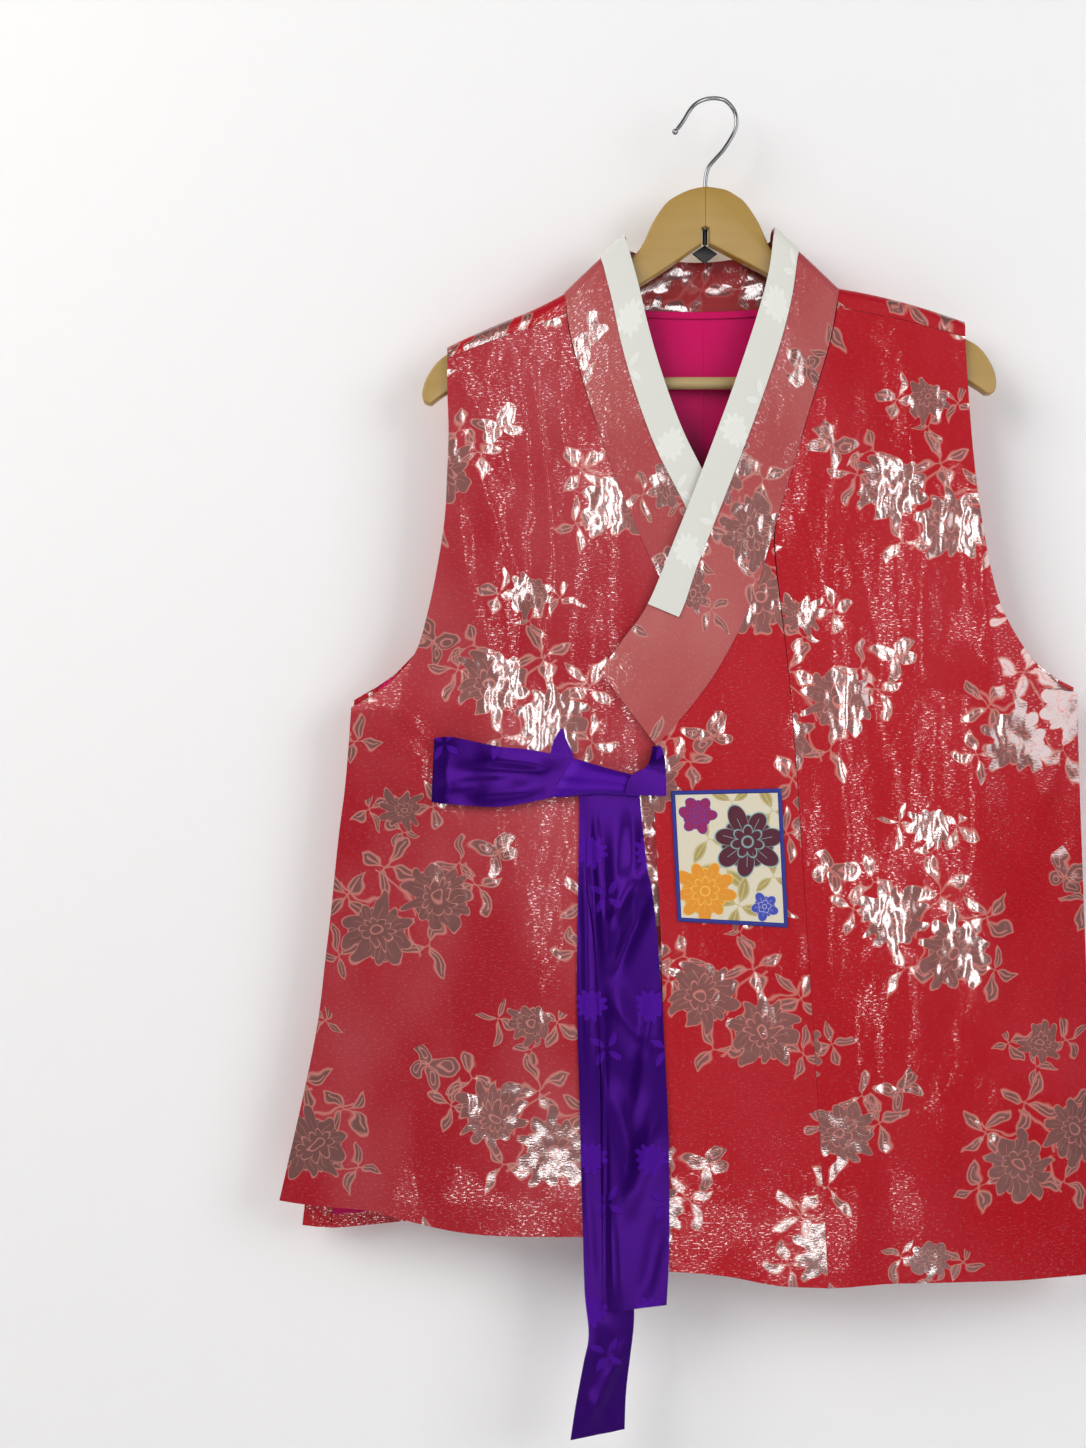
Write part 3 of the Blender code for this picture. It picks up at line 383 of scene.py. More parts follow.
def right_front(x, z, lift=0.0):
    """Place points on the front that laps over the left."""
    creased = fold_height(FOLDS_RIGHT, x, z) + fold_height(CREASES_RIGHT, x, z) + ripple(x, z)
    return place(x, -(half_depth(x, z) + creased + lap_height(x, z) + lift), z)


def back(x, z, lift=0.0):
    """Place points on the back."""
    creased = (fold_height(FOLDS_BACK, x, z) + fold_height(CREASES_BACK, x, z)
               + ripple(x + BACK_RIPPLE_SHIFT, z))
    return place(x, half_depth(x, z) + creased + lift, z)


def ridge_height(x):
    """Give the height of the shoulder's ridge over the hanger."""
    left, right = RIDGES
    return np.where(np.asarray(x) < 0, np.interp(x, left[:, 0], left[:, 1]),
                    np.interp(x, right[:, 0], right[:, 1]))


def over_hanger(x, height):
    """Bend the flat back over the hanger: heights past the ridge come down in front."""
    foot = ridge_height(x) - WRAP_RISE
    angle = (height - foot) / WRAP_LENGTH * math.pi
    round_it = place(x, WRAP_DEPTH * np.cos(angle), foot + WRAP_RISE * np.sin(angle))
    front_z = 2 * foot + WRAP_LENGTH - height
    in_front = place(x, -half_depth(x, front_z), front_z)
    behind = back(x, height)
    result = np.where((angle <= 0)[..., None], behind, round_it)
    return np.where((angle > math.pi)[..., None], in_front, result)


def flat_height(x, z):
    """Height, on the flat back, of a place in front of the shoulder."""
    foot = ridge_height(x) - WRAP_RISE
    return foot + WRAP_LENGTH + foot - z


def moved(grid, distance):
    """Move a grid of points along its own normals."""
    normal = np.cross(np.gradient(grid, axis=1), np.gradient(grid, axis=0))
    normal /= np.maximum(np.linalg.norm(normal, axis=-1, keepdims=True), 1e-9)
    return grid + normal * distance


print("depth at the chest:", round(float(half_depth(np.array(0.0), np.array(-400.0))), 1), "mm")

# %% [markdown]
# ## Making a cloth shell
#
# Each piece starts as one flat grid. Its points are moved onto the worked-out form, its UV map
# holds the flat cut in metres, and Solidify gives it a thickness. The face that looks outwards
# takes the first material, and the inner face may take the second one. The open edges are marked
# sharp, so that the narrow rim of the wall isn't shaded as if it were round.

# %% Cloth shells from grids
made = {}


def set_uv(mesh, rows, columns, uv):
    """Give each corner the flat place of its grid point."""
    layer = mesh.uv_layers.new(name="UVMap")
    corner = np.empty(len(mesh.loops), int)
    mesh.loops.foreach_get("vertex_index", corner)
    layer.data.foreach_set("uv", uv[rows[corner], columns[corner]].astype(np.float32).ravel())


def cloth(name, grid, uv, outward, materials, wall_size, node, inner=0, weld=False):
    """Make one cloth piece. outward is the way that its first face looks."""
    rows, columns = grid.shape[0] - 1, grid.shape[1] - 1
    sheet = bmesh.new()
    bmesh.ops.create_grid(sheet, x_segments=columns, y_segments=rows, size=0.5)
    mesh = bpy.data.meshes.new(name)
    sheet.to_mesh(mesh)
    flat = np.empty(len(mesh.vertices) * 3)
    mesh.vertices.foreach_get("co", flat)
    flat = flat.reshape(-1, 3)
    column = np.round((flat[:, 0] + 0.5) * columns).astype(int)
    row = np.round((0.5 - flat[:, 1]) * rows).astype(int)
    mesh.vertices.foreach_set("co", (grid[row, column] * MM).ravel())
    set_uv(mesh, row, column, uv)
    sheet.clear()
    sheet.from_mesh(mesh)
    if weld:
        bmesh.ops.remove_doubles(sheet, verts=sheet.verts, dist=WELD)
    sheet.normal_update()
    facing = sum((face.normal * face.calc_area() for face in sheet.faces), Vector())
    if facing.dot(Vector(outward)) < 0:
        bmesh.ops.reverse_faces(sheet, faces=sheet.faces)
    for edge in sheet.edges:
        edge.smooth = not edge.is_boundary
    sheet.to_mesh(mesh)
    sheet.free()
    mesh.shade_smooth()
    piece = finish_piece(mesh, materials, node)
    wall = piece.modifiers.new("wall", "SOLIDIFY")
    wall.thickness = wall_size * MM
    wall.offset = 0.0
    wall.use_even_offset = True
    wall.material_offset = inner
    return piece


def shown(mesh):
    """Put a mesh into the scene under its own name."""
    thing = bpy.data.objects.new(mesh.name, mesh)
    bpy.context.scene.collection.objects.link(thing)
    return thing


def finish_piece(mesh, materials, node):
    """Make a mesh the visual piece that stands for one CAD node."""
    for material in materials:
        mesh.materials.append(material)
    piece = shown(mesh)
    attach(piece, "root")
    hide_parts(node)
    made[piece.name] = piece
    return piece


def hard_piece(name, solid, material, node, sharp_over):
    """Turn a finished bmesh into a piece whose edges over an angle stay sharp."""
    mesh = bpy.data.meshes.new(name)
    solid.to_mesh(mesh)
    solid.free()
    mesh.shade_smooth()
    mesh.set_sharp_from_angle(angle=math.radians(sharp_over))
    return finish_piece(mesh, (material,), node)


# %% [markdown]
# ## Woven flowers as shader nodes
#
# All patterns are drawn in the shader from each piece's own UV map, in millimetres.
# A blossom is a wavy ring in polar coordinates, a leaf whorl folds the plane into equal sectors,
# and a stem is a thin arc. A large spray, a small sprig and a butterfly are put together from these
# and repeated with a half drop, with every second column mirrored, as a loom repeats them.

# %% Node helpers


class Shader:
    """Short ways to add nodes to a shader tree."""

    def __init__(self, tree):
        self.tree = tree

    def node(self, kind, **settings):
        """Add a node and set its properties."""
        made_node = self.tree.nodes.new(kind)
        for key, value in settings.items():
            setattr(made_node, key, value)
        return made_node

    def link(self, source, target):
        """Join an output to an input."""
        self.tree.links.new(source, target)

    def feed(self, sockets, values):
        """Give each socket its link or its plain value."""
        for socket, value in zip(sockets, values):
            if isinstance(value, bpy.types.NodeSocket):
                self.link(value, socket)
            else:
                socket.default_value = value

    def math(self, operation, *values, clamp=False):
        """Add one sum on values."""
        step = self.node("ShaderNodeMath", operation=operation, use_clamp=clamp)
        self.feed(step.inputs, values)
        return step.outputs[0]

    def vector(self, operation, *values, result="Vector"):
        """Add one sum on vectors."""
        step = self.node("ShaderNodeVectorMath", operation=operation)
        self.feed(step.inputs, values)
        return step.outputs[result]

    def group(self, name, **values):
        """Place a node group and feed its inputs."""
        step = self.node("ShaderNodeGroup", node_tree=bpy.data.node_groups[name])
        self.feed([step.inputs[key] for key in values], values.values())
        return step.outputs

    def noise(self, place, stretch, detail=2.0):
        """Noise with a size of its own along each axis. The first output is its value."""
        step = self.node("ShaderNodeTexNoise")
        self.link(self.vector("MULTIPLY", place, stretch), step.inputs["Vector"])
        step.inputs["Scale"].default_value = 1.0
        step.inputs["Detail"].default_value = detail
        return step.outputs

    def scaled(self, value, by, plus=0.0, clamp=False):
        """Multiply, then add."""
        return self.math("MULTIPLY_ADD", value, by, plus, clamp=clamp)

    def product(self, *values):
        """Multiply several values, which is a logical "and" for masks."""
        result = values[-1]
        for value in reversed(values[:-1]):
            result = self.math("MULTIPLY", value, result)
        return result

    def apart(self, place):
        """Split a place into x, y and z."""
        step = self.node("ShaderNodeSeparateXYZ")
        self.link(place, step.inputs[0])
        return step.outputs

    def most(self, *values):
        """Give the greatest of several values."""
        best = values[0]
        for value in values[1:]:
            best = self.math("MAXIMUM", best, value)
        return best

    def near(self, value, sharpness):
        """Give 1 where a value is zero, falling to 0 beside it."""
        return self.scaled(self.math("ABSOLUTE", value), -sharpness, 1.0, clamp=True)

    def mix(self, share, first, second):
        """Mix two colours."""
        step = self.node("ShaderNodeMix", data_type="RGBA")
        self.feed([step.inputs[0], step.inputs[6], step.inputs[7]], (share, first, second))
        return step.outputs[2]


def new_group(name, inputs, outputs):
    """Start a node group with named inputs and outputs."""
    tree = bpy.data.node_groups.new(name, "ShaderNodeTree")
    for label, kind, value in inputs:
        socket = tree.interface.new_socket(label, in_out="INPUT", socket_type="NodeSocket" + kind)
        if value is not None:
            socket.default_value = value
    for label in outputs:
        tree.interface.new_socket(label, in_out="OUTPUT", socket_type="NodeSocketFloat")
    shader = Shader(tree)
    shader.inside = shader.node("NodeGroupInput").outputs
    shader.outside = shader.node("NodeGroupOutput").inputs
    return shader


print("node helpers are in class", Shader.__name__)

# %% [markdown]
# A blossom of the brocade is two rings of petals round a heart, drawn with thin outlines. It could
# be drawn by hand as a mesh or a picture, but a wave on the angle round its middle gives any number
# of petals and stays sharp at every distance.

# %% Blossom
# All in shares of the radius. An outer ring of petals lies over a second one, which shows
# between them, and an inner ring lies round the heart.
OUTER_PETALS = (0.42, 0.56, 0.6)
PETALS_BEHIND = (0.42, 0.32, 0.8)
INNER_PETALS = (0.26, 0.2, 0.7)
# Waves that make the petals uneven: how many round the blossom, and their height
SLOW_WAVES = (3.0, 0.07)
QUICK_WAVES = (5.0, 0.05)
HEART = 0.15
VEIN_END = 0.7
BLOSSOM_END = 1.12
FILL_SHARP = 30.0
LINE_SHARP = 27.0
FINE_SHARP = 26.0


def polar(shader, place, size, turn):
    """Distance from the middle, in sizes, and the angle."""
    far = shader.math("DIVIDE", shader.vector("LENGTH", place, result="Value"), size)
    parts = shader.apart(place)
    angle = shader.math("ADD", shader.math("ARCTAN2", parts[1], parts[0]), turn)
    return far, angle


def petals(shader, wave, start, reach, blunt):
    """Outline of a ring of petals: a wave that is made blunt or pointed."""
    return shader.scaled(shader.math("POWER", wave, blunt), reach, start)


s = new_group("Blossom", (("Place", "Vector", None), ("Radius", "Float", 20.0),
                          ("Petals", "Float", 8.0), ("Turn", "Float", 0.0)), ("Fill", "Line"))
far, angle = polar(s, s.inside["Place"], s.inside["Radius"], s.inside["Turn"])
half_turns = s.math("MULTIPLY", s.math("MULTIPLY", angle, s.inside["Petals"]), 0.5)
wave = s.math("ABSOLUTE", s.math("COSINE", half_turns))
cross = s.math("ABSOLUTE", s.math("SINE", half_turns))
# Two waves round the blossom make some petals longer than others.
slow = s.math("SINE", s.math("MULTIPLY", angle, SLOW_WAVES[0]))
quick = s.math("SINE", s.scaled(angle, QUICK_WAVES[0], 1.0))
uneven = s.math("MULTIPLY_ADD", slow, SLOW_WAVES[1], s.math("MULTIPLY", quick, QUICK_WAVES[1]))
rim = s.math("ADD", petals(s, wave, *OUTER_PETALS), uneven)
behind = petals(s, cross, *PETALS_BEHIND)
inner_rim = petals(s, cross, *INNER_PETALS)
inside_rim = s.math("SUBTRACT", s.math("MAXIMUM", rim, behind), far)
fill = s.scaled(inside_rim, FILL_SHARP, 0.5, clamp=True)
edge = s.near(s.math("SUBTRACT", far, rim), LINE_SHARP)
behind_edge = s.product(s.near(s.math("SUBTRACT", far, behind), LINE_SHARP),
                        s.math("GREATER_THAN", far, rim))
inner_edge = s.near(s.math("SUBTRACT", far, inner_rim), FILL_SHARP)
vein = s.product(s.near(s.math("MULTIPLY", cross, far), FINE_SHARP),
                 s.math("GREATER_THAN", far, inner_rim), s.math("LESS_THAN", far, VEIN_END))
heart = s.near(s.math("SUBTRACT", far, HEART), FINE_SHARP)
lines = s.most(edge, behind_edge, inner_edge, vein, heart)
s.link(fill, s.outside["Fill"])
s.link(s.product(lines, s.math("LESS_THAN", far, BLOSSOM_END)), s.outside["Line"])
print("blossom nodes:", len(s.tree.nodes))

# %% [markdown]
# A whorl of leaves is one leaf, drawn along a ray, that a fold of the plane repeats round the
# middle. A stem is the part of a thin circle that lies near one of its own points.

# %% Leaf whorl and stem
LEAF_START = 0.14
# Makes up for the part of the ray before the leaf
LEAF_STRETCH = 1.16
LEAF_BEND = 0.16
LEAF_EDGE_FROM = 0.12
LEAF_EDGE_TO = 1.03
LEAF_EDGE_SHARP = 17.0
RIB_END = 0.8
STEM_SHARP = 0.62

s = new_group("Leaves", (("Place", "Vector", None), ("Length", "Float", 20.0),
                         ("Width", "Float", 0.22), ("Count", "Float", 3.0),
                         ("Turn", "Float", 0.0)), ("Fill", "Line"))
far, angle = polar(s, s.inside["Place"], s.inside["Length"], s.inside["Turn"])
sector = s.math("DIVIDE", s.math("MULTIPLY", angle, s.inside["Count"]), 2 * math.pi)
sector = s.math("SUBTRACT", sector, s.math("ROUND", sector))
swing = s.math("DIVIDE", s.math("MULTIPLY", sector, 2 * math.pi), s.inside["Count"])
along = s.math("MULTIPLY", far, s.math("COSINE", swing))
off = s.math("MULTIPLY", far, s.math("SINE", swing))
bend = s.math("MULTIPLY", s.math("MULTIPLY", along, along), LEAF_BEND)
off = s.math("ABSOLUTE", s.math("SUBTRACT", off, bend))
bulge = s.math("MULTIPLY", s.math("MULTIPLY", s.math("SUBTRACT", along, LEAF_START), LEAF_STRETCH),
               s.math("SUBTRACT", 1.0, along))
# The bulge is about a quarter at its widest, so it is taken four times.
half_width = s.math("MULTIPLY", s.math("MULTIPLY", bulge, 4.0), s.inside["Width"])
inside_leaf = s.math("SUBTRACT", half_width, off)
edge = s.product(s.near(inside_leaf, LEAF_EDGE_SHARP),
                 s.math("GREATER_THAN", along, LEAF_EDGE_FROM),
                 s.math("LESS_THAN", along, LEAF_EDGE_TO))
rib = s.product(s.near(off, FINE_SHARP), s.math("LESS_THAN", along, RIB_END),
                s.math("GREATER_THAN", along, 0.0))
s.link(s.scaled(inside_leaf, FINE_SHARP, 0.5, clamp=True), s.outside["Fill"])
s.link(s.math("MAXIMUM", edge, rib), s.outside["Line"])

s = new_group("Stem", (("Place", "Vector", None), ("Radius", "Float", 30.0),
                       ("Middle", "Vector", None), ("Reach", "Float", 18.0)), ("Line",))
ring = s.math("SUBTRACT", s.vector("LENGTH", s.inside["Place"], result="Value"),
              s.inside["Radius"])
reach = s.vector("DISTANCE", s.inside["Place"], s.inside["Middle"], result="Value")
s.link(s.product(s.near(ring, STEM_SHARP), s.math("LESS_THAN", reach, s.inside["Reach"])),
       s.outside["Line"])
print("shapes:", [group.name for group in bpy.data.node_groups])

# %% [markdown]
# ## The loom's repeat
#
# The tables hold the motifs of one repeat, in millimetres from the middle of the large spray.
# Two copies of the repeat, half a repeat apart, fill the plane, and the nearer one is drawn.

# %% Motif tables
REPEAT_X = 187.0
REPEAT_Z = 334.0
SPRIG_AT = (3.0, 82.0)
BUTTERFLY_AT = (-73.0, 48.0)
# Blossoms: x, z, radius, petals, turn
SPRAY_BLOSSOMS = ((-26, 13, 28, 11, 0.3), (21, -15, 29, 10, 0.9))
SPRIG_BLOSSOMS = ((0, 0, 17, 9, 0.4),)
# Leaf whorls: x, z, length, width, count, turn
SPRAY_LEAVES = (
    (-56, 22, 22, 0.2, 4, 0.5), (12, 35, 26, 0.19, 4, 1.3), (48, 13, 24, 0.2, 4, 2.4),
    (-18, -27, 25, 0.2, 3, 0.2), (53, -30, 21, 0.21, 4, 1.9), (-42, 43, 20, 0.2, 3, 2.6),
)
SPRIG_LEAVES = ((-23, 3, 18, 0.21, 4, 0.4), (24, 1, 18, 0.2, 4, 2.2), (2, -19, 15, 0.22, 3, 1.2))
# Stems: circle x, z, radius, middle of the arc x, z, half its length
SPRAY_STEMS = ((34, -10, 42, 2, 18, 22), (30, 34, 24, 36, 11, 18), (-40, -10, 36, -6, -20, 16))
# Butterfly wings on one side: x, z, half length, half width, lean
WINGS = ((10.0, 6.0, 11.5, 6.2, -0.6), (7.5, -6.5, 8.0, 5.0, 0.7))
BUTTERFLY_TURN = 0.5
WING_SHARP = 12.0
WING_LINE_SHARP = 8.0
INNER_WING = 0.45
SWAY = 19.0
SWAY_A_METRE = 48.0
TO_MM = (1000.0, 1000.0, 0.0)
print("motifs in a repeat:", sum(len(table) for table in (
    SPRAY_BLOSSOMS, SPRIG_BLOSSOMS, SPRAY_LEAVES, SPRIG_LEAVES, SPRAY_STEMS)) + 1)

# %% Place in the repeat
s = new_group("Brocade", (("Place", "Vector", None),), ("Fill", "Line"))
# A slow noise bends the place a little, so that no petal or leaf is drawn quite like the next.
sway = s.noise(s.inside["Place"], (SWAY_A_METRE, SWAY_A_METRE, 1.0), 1.0)["Color"]
sway = s.vector("MULTIPLY", s.vector("SUBTRACT", sway, (0.5, 0.5, 0.5)), (SWAY, SWAY, 0.0))
flat_mm = s.vector("ADD", s.vector("MULTIPLY", s.inside["Place"], TO_MM), sway)
half = (REPEAT_X / 2, REPEAT_Z / 2, 0.0)
minus_half = (-REPEAT_X / 2, -REPEAT_Z / 2, 0.0)
even_cell = s.vector("WRAP", flat_mm, half, minus_half)
odd_cell = s.vector("WRAP", s.vector("ADD", flat_mm, half), half, minus_half)
odd_cell = s.vector("MULTIPLY", odd_cell, (-1.0, 1.0, 1.0))
nearer = s.math("LESS_THAN", s.vector("LENGTH", even_cell, result="Value"),
                s.vector("LENGTH", odd_cell, result="Value"))
pick = s.node("ShaderNodeMix", data_type="VECTOR")
s.feed([pick.inputs[0], pick.inputs[4], pick.inputs[5]], (nearer, odd_cell, even_cell))
cell = pick.outputs[1]
print("one repeat:", REPEAT_X, "x", REPEAT_Z, "mm")

# %% Sprays and sprigs


def put(shader, cell_place, x, z):
    """Measure a place from the middle of a motif."""
    return shader.vector("SUBTRACT", cell_place, (float(x), float(z), 0.0))


def motifs(shader, place, kind, labels, rows, at=(0.0, 0.0)):
    """Place one shape for each row of a table: x, z and the values that the labels name."""
    outs = [shader.group(kind, Place=put(shader, place, x + at[0], z + at[1]),
                         **dict(zip(labels, values))) for x, z, *values in rows]
    return [out["Fill"] for out in outs], [out["Line"] for out in outs]


BLOSSOM_VALUES = ("Radius", "Petals", "Turn")
LEAF_VALUES = ("Length", "Width", "Count", "Turn")
fills, lines = [], []
for at, blossoms, leaves, stems in (((0.0, 0.0), SPRAY_BLOSSOMS, SPRAY_LEAVES, SPRAY_STEMS),
                                    (SPRIG_AT, SPRIG_BLOSSOMS, SPRIG_LEAVES, ())):
    over, over_lines = motifs(s, cell, "Blossom", BLOSSOM_VALUES, blossoms, at)
    under, under_lines = motifs(s, cell, "Leaves", LEAF_VALUES, leaves, at)
    for x, z, radius, mid_x, mid_z, reach in stems:
        out = s.group("Stem", Place=put(s, cell, x, z), Radius=radius,
                      Middle=(float(mid_x - x), float(mid_z - z), 0.0), Reach=reach)
        under_lines.append(out["Line"])
    # Stems and leaves lie under the blossoms.
    bare = s.math("SUBTRACT", 1.0, s.most(*over))
    fills += over + under
    lines += over_lines + [s.math("MULTIPLY", s.most(*under_lines), bare)]
print("shapes in the sprays and sprigs:", len(lines))

# %% [markdown]
# Between the sprays the loom weaves a butterfly. It is folded on its own axis, so that two wings
# are drawn and four show.

# %% Butterfly
turned = s.node("ShaderNodeVectorRotate", rotation_type="Z_AXIS")
s.feed([turned.inputs["Vector"], turned.inputs["Angle"]],
       (put(s, cell, *BUTTERFLY_AT), BUTTERFLY_TURN))
parts = s.apart(turned.outputs[0])
folded = s.node("ShaderNodeCombineXYZ")
s.feed(folded.inputs, (s.math("ABSOLUTE", parts[0]), parts[1], 0.0))
for x, z, long_way, short_way, lean in WINGS:
    wing = s.node("ShaderNodeMapping", vector_type="TEXTURE")
    s.link(folded.outputs[0], wing.inputs["Vector"])
    wing.inputs["Location"].default_value = (x, z, 0.0)
    wing.inputs["Rotation"].default_value = (0.0, 0.0, -lean)
    wing.inputs["Scale"].default_value = (long_way, short_way, 1.0)
    size = s.vector("LENGTH", wing.outputs[0], result="Value")
    fills.append(s.scaled(s.math("SUBTRACT", 1.0, size), WING_SHARP, 0.5, clamp=True))
    lines += [s.near(s.math("SUBTRACT", size, ring), WING_LINE_SHARP) for ring in (1.0, INNER_WING)]
s.link(s.most(*fills), s.outside["Fill"])
s.link(s.most(*lines), s.outside["Line"])
print("brocade nodes:", len(s.tree.nodes))

# %% [markdown]
# ## Foil and weave
#
# The cloth has metal foil in its weft. Fine dashes across the cloth and a coarser crinkle make its
# glare break up into specks. One group gives two heights for the bump, the specks of foil on the
# ground, and slow clouds in which the ground is painted paler: a painted sheen.

# %% Weave group
# Noise across and along the cloth, a metre
DASHES = (330.0, 820.0, 1.0)
CRINKLE = (75.0, 45.0, 1.0)
CLOUD = (9.0, 6.0, 1.0)
SPECKLE_OVER = 0.59
SPECKLE_SHARP = 10.0

s = new_group("Foil weave", (("Place", "Vector", None),),
              ("Height", "Crinkle", "Speckle", "Painted sheen"))
dashes = s.noise(s.inside["Place"], DASHES, 1.0)[0]
s.link(dashes, s.outside["Height"])
s.link(s.noise(s.inside["Place"], CRINKLE, 1.0)[0], s.outside["Crinkle"])
s.link(s.scaled(s.math("SUBTRACT", dashes, SPECKLE_OVER), SPECKLE_SHARP, clamp=True),
       s.outside["Speckle"])
# The clouds mark where the ground is painted paler: a painted sheen.
s.link(s.noise(s.inside["Place"], CLOUD, 2.0)[0], s.outside["Painted sheen"])
print("weave nodes:", len(s.tree.nodes))

# %% [markdown]
# The ribbon and the white band are satin with a figure of their own colour: one blossom and one
# whorl of leaves in a plain repeat.

# %% Self-figured satin group
s = new_group("Satin figure", (("Place", "Vector", None), ("Repeat", "Vector", (70.0, 96.0, 0.0))),
              ("Fill", "Line"))
flat_mm = s.vector("MULTIPLY", s.inside["Place"], TO_MM)
half = s.vector("MULTIPLY", s.inside["Repeat"], (0.5, 0.5, 0.0))
minus_half = s.vector("MULTIPLY", s.inside["Repeat"], (-0.5, -0.5, 0.0))
cell = s.vector("WRAP", flat_mm, half, minus_half)
bloom = s.group("Blossom", Place=put(s, cell, 0, 12), Radius=13.0, Petals=11.0, Turn=0.2)
whorl = s.group("Leaves", Place=put(s, cell, 12, -22), Length=15.0, Width=0.2, Count=4.0, Turn=0.7)
s.link(s.most(bloom["Fill"], whorl["Fill"]), s.outside["Fill"])
s.link(s.most(bloom["Line"], whorl["Line"]), s.outside["Line"])
print("satin nodes:", len(s.tree.nodes))

# %% [markdown]
# ## Materials
#
# Each material keeps its own Principled shader. The groups only give masks and heights.
# The brocade is silk with a coat of foil: the coat is whole on the figures and in specks on the
# ground, so that it mirrors the narrow lamps where a real foil does.

# %% Brocade
# Foil values: how metallic the silk and the foil are, and how much of a coat each has
SILK_METAL = 0.06
FOIL_METAL = 0.4
FOIL_COAT = 0.85
SPECK_COAT = 0.48
LEAST_COAT = 0.02
LINE_BARE = 0.7
# Where the clouds of painted sheen begin, and how sharply
PAINTED_SHEEN_OVER = 0.38
PAINTED_SHEEN_SHARP = 2.4
CRINKLE_HEIGHT = 3.0
DASH_HEIGHT = 0.13
BUMP_DEPTH = 0.0006
# How strongly the silk buckles, and how much more the foil does
SILK_BUCKLE = 0.22
FOIL_BUCKLE = 0.5
# Least roughness, and how much the crinkle adds
LEAST_ROUGH = 0.36
CRINKLE_ROUGH = 0.16
# How far the paler colour shows in a speck, and how much more in a cloud of painted sheen
SPECK_PALE = 0.3
PAINTED_SHEEN_PALE = 0.5
COAT_ROUGH = 0.1
COAT_IOR = 2.3
RED_TINT = (1.0, 0.4, 0.4)
# The painted shade of the inside is whole at one over this, in metres, behind the middle plane
PAINTED_SHADE_FROM = 400.0


def new_material(name, colour, roughness, metallic=0.0):
    """Give a new material, its node helper and its Principled shader."""
    material = bpy.data.materials.new(name)
    material.use_nodes = True
    shader = material.node_tree.nodes["Principled BSDF"]
    shader.inputs["Base Color"].default_value = (*colour, 1.0)
    shader.inputs["Roughness"].default_value = roughness
    shader.inputs["Metallic"].default_value = metallic
    material.diffuse_color = (*colour, 1.0)
    return material, Shader(material.node_tree), shader


def gloss(shader, level, tint=(1.0, 1.0, 1.0)):
    """Set how strongly a surface mirrors, and in which tint."""
    shader.inputs["Specular IOR Level"].default_value = level
    shader.inputs["Specular Tint"].default_value = (*tint, 1.0)


def bump(s, shader, height, distance, strength=1.0):
    """Bend the normals by a height."""
    step = s.node("ShaderNodeBump")
    step.inputs["Strength"].default_value = strength
    step.inputs["Distance"].default_value = distance
    s.link(height, step.inputs["Height"])
    s.link(step.outputs[0], shader.inputs["Normal"])
    return step


def uv_of(s):
    """Read the flat cut of the piece, in metres."""
    return s.node("ShaderNodeUVMap", uv_map="UVMap").outputs[0]


# behind darkens the cloth behind the middle plane: a painted shade.
# foil is how strongly the paler clouds, a painted sheen, show on the ground.
def brocade_material(name, ground, pale, figure, outline, foil, behind=None):
    """Silk ground with figures of foil and outlines of silk."""
    material, s, shader = new_material(name, ground, 0.4)
    place_uv = uv_of(s)
    motif = s.group("Brocade", Place=place_uv)
    weave = s.group("Foil weave", Place=place_uv)
    # The paler clouds are painted sheen: they lighten the ground and the specks in them.
    painted_sheen_clouds = s.scaled(s.math("SUBTRACT", weave["Painted sheen"], PAINTED_SHEEN_OVER), PAINTED_SHEEN_SHARP, clamp=True)
    base = s.mix(s.math("MULTIPLY", painted_sheen_clouds, foil), (*ground, 1.0), (*pale, 1.0))
    base = s.mix(s.math("MULTIPLY", weave["Speckle"], s.scaled(painted_sheen_clouds, PAINTED_SHEEN_PALE, SPECK_PALE)),
                 base, (*pale, 1.0))
    base = s.mix(motif["Fill"], base, (*figure, 1.0))
    base = s.mix(motif["Line"], base, (*outline, 1.0))
    if behind:
        # Behind the middle plane the cloth is seen from inside, and there its colour is
        # darkened: a painted shade.
        depth = s.apart(s.node("ShaderNodeTexCoord").outputs["Object"])[1]
        base = s.mix(s.scaled(depth, PAINTED_SHADE_FROM, clamp=True), base,
                     s.vector("MULTIPLY", base, behind))
    s.link(base, shader.inputs["Base Color"])
    # The figures are woven in foil, which is dark until it mirrors a light. Their outlines
    # are silk.
    foil_here = s.math("MULTIPLY", motif["Fill"], s.scaled(motif["Line"], -LINE_BARE, 1.0))
    s.link(s.scaled(foil_here, FOIL_METAL, SILK_METAL), shader.inputs["Metallic"])
    s.link(s.scaled(weave["Crinkle"], CRINKLE_ROUGH, LEAST_ROUGH), shader.inputs["Roughness"])
    gloss(shader, 0.2, RED_TINT)
    specks = s.scaled(weave["Speckle"], SPECK_COAT, LEAST_COAT)
    s.link(s.math("MAXIMUM", specks, s.math("MULTIPLY", foil_here, FOIL_COAT)),
           shader.inputs["Coat Weight"])
    shader.inputs["Coat Roughness"].default_value = COAT_ROUGH
    shader.inputs["Coat IOR"].default_value = COAT_IOR
    height = s.math("MULTIPLY_ADD", weave["Crinkle"], CRINKLE_HEIGHT,
                    s.math("MULTIPLY", weave["Height"], DASH_HEIGHT))
    step = bump(s, shader, height, BUMP_DEPTH)
    # The foil is stiffer and buckles more than the silk round it.
    s.link(s.scaled(motif["Fill"], FOIL_BUCKLE, SILK_BUCKLE), step.inputs["Strength"])
    s.link(step.outputs[0], shader.inputs["Coat Normal"])
    return material


# Ground, its paler colour in specks and painted sheen, figures, outlines, how strong the sheen is
red_brocade = brocade_material("red_brocade", (0.41, 0.002, 0.009), (0.46, 0.03, 0.045),
                               (0.17, 0.050, 0.043), (0.56, 0.19, 0.16), 0.5)
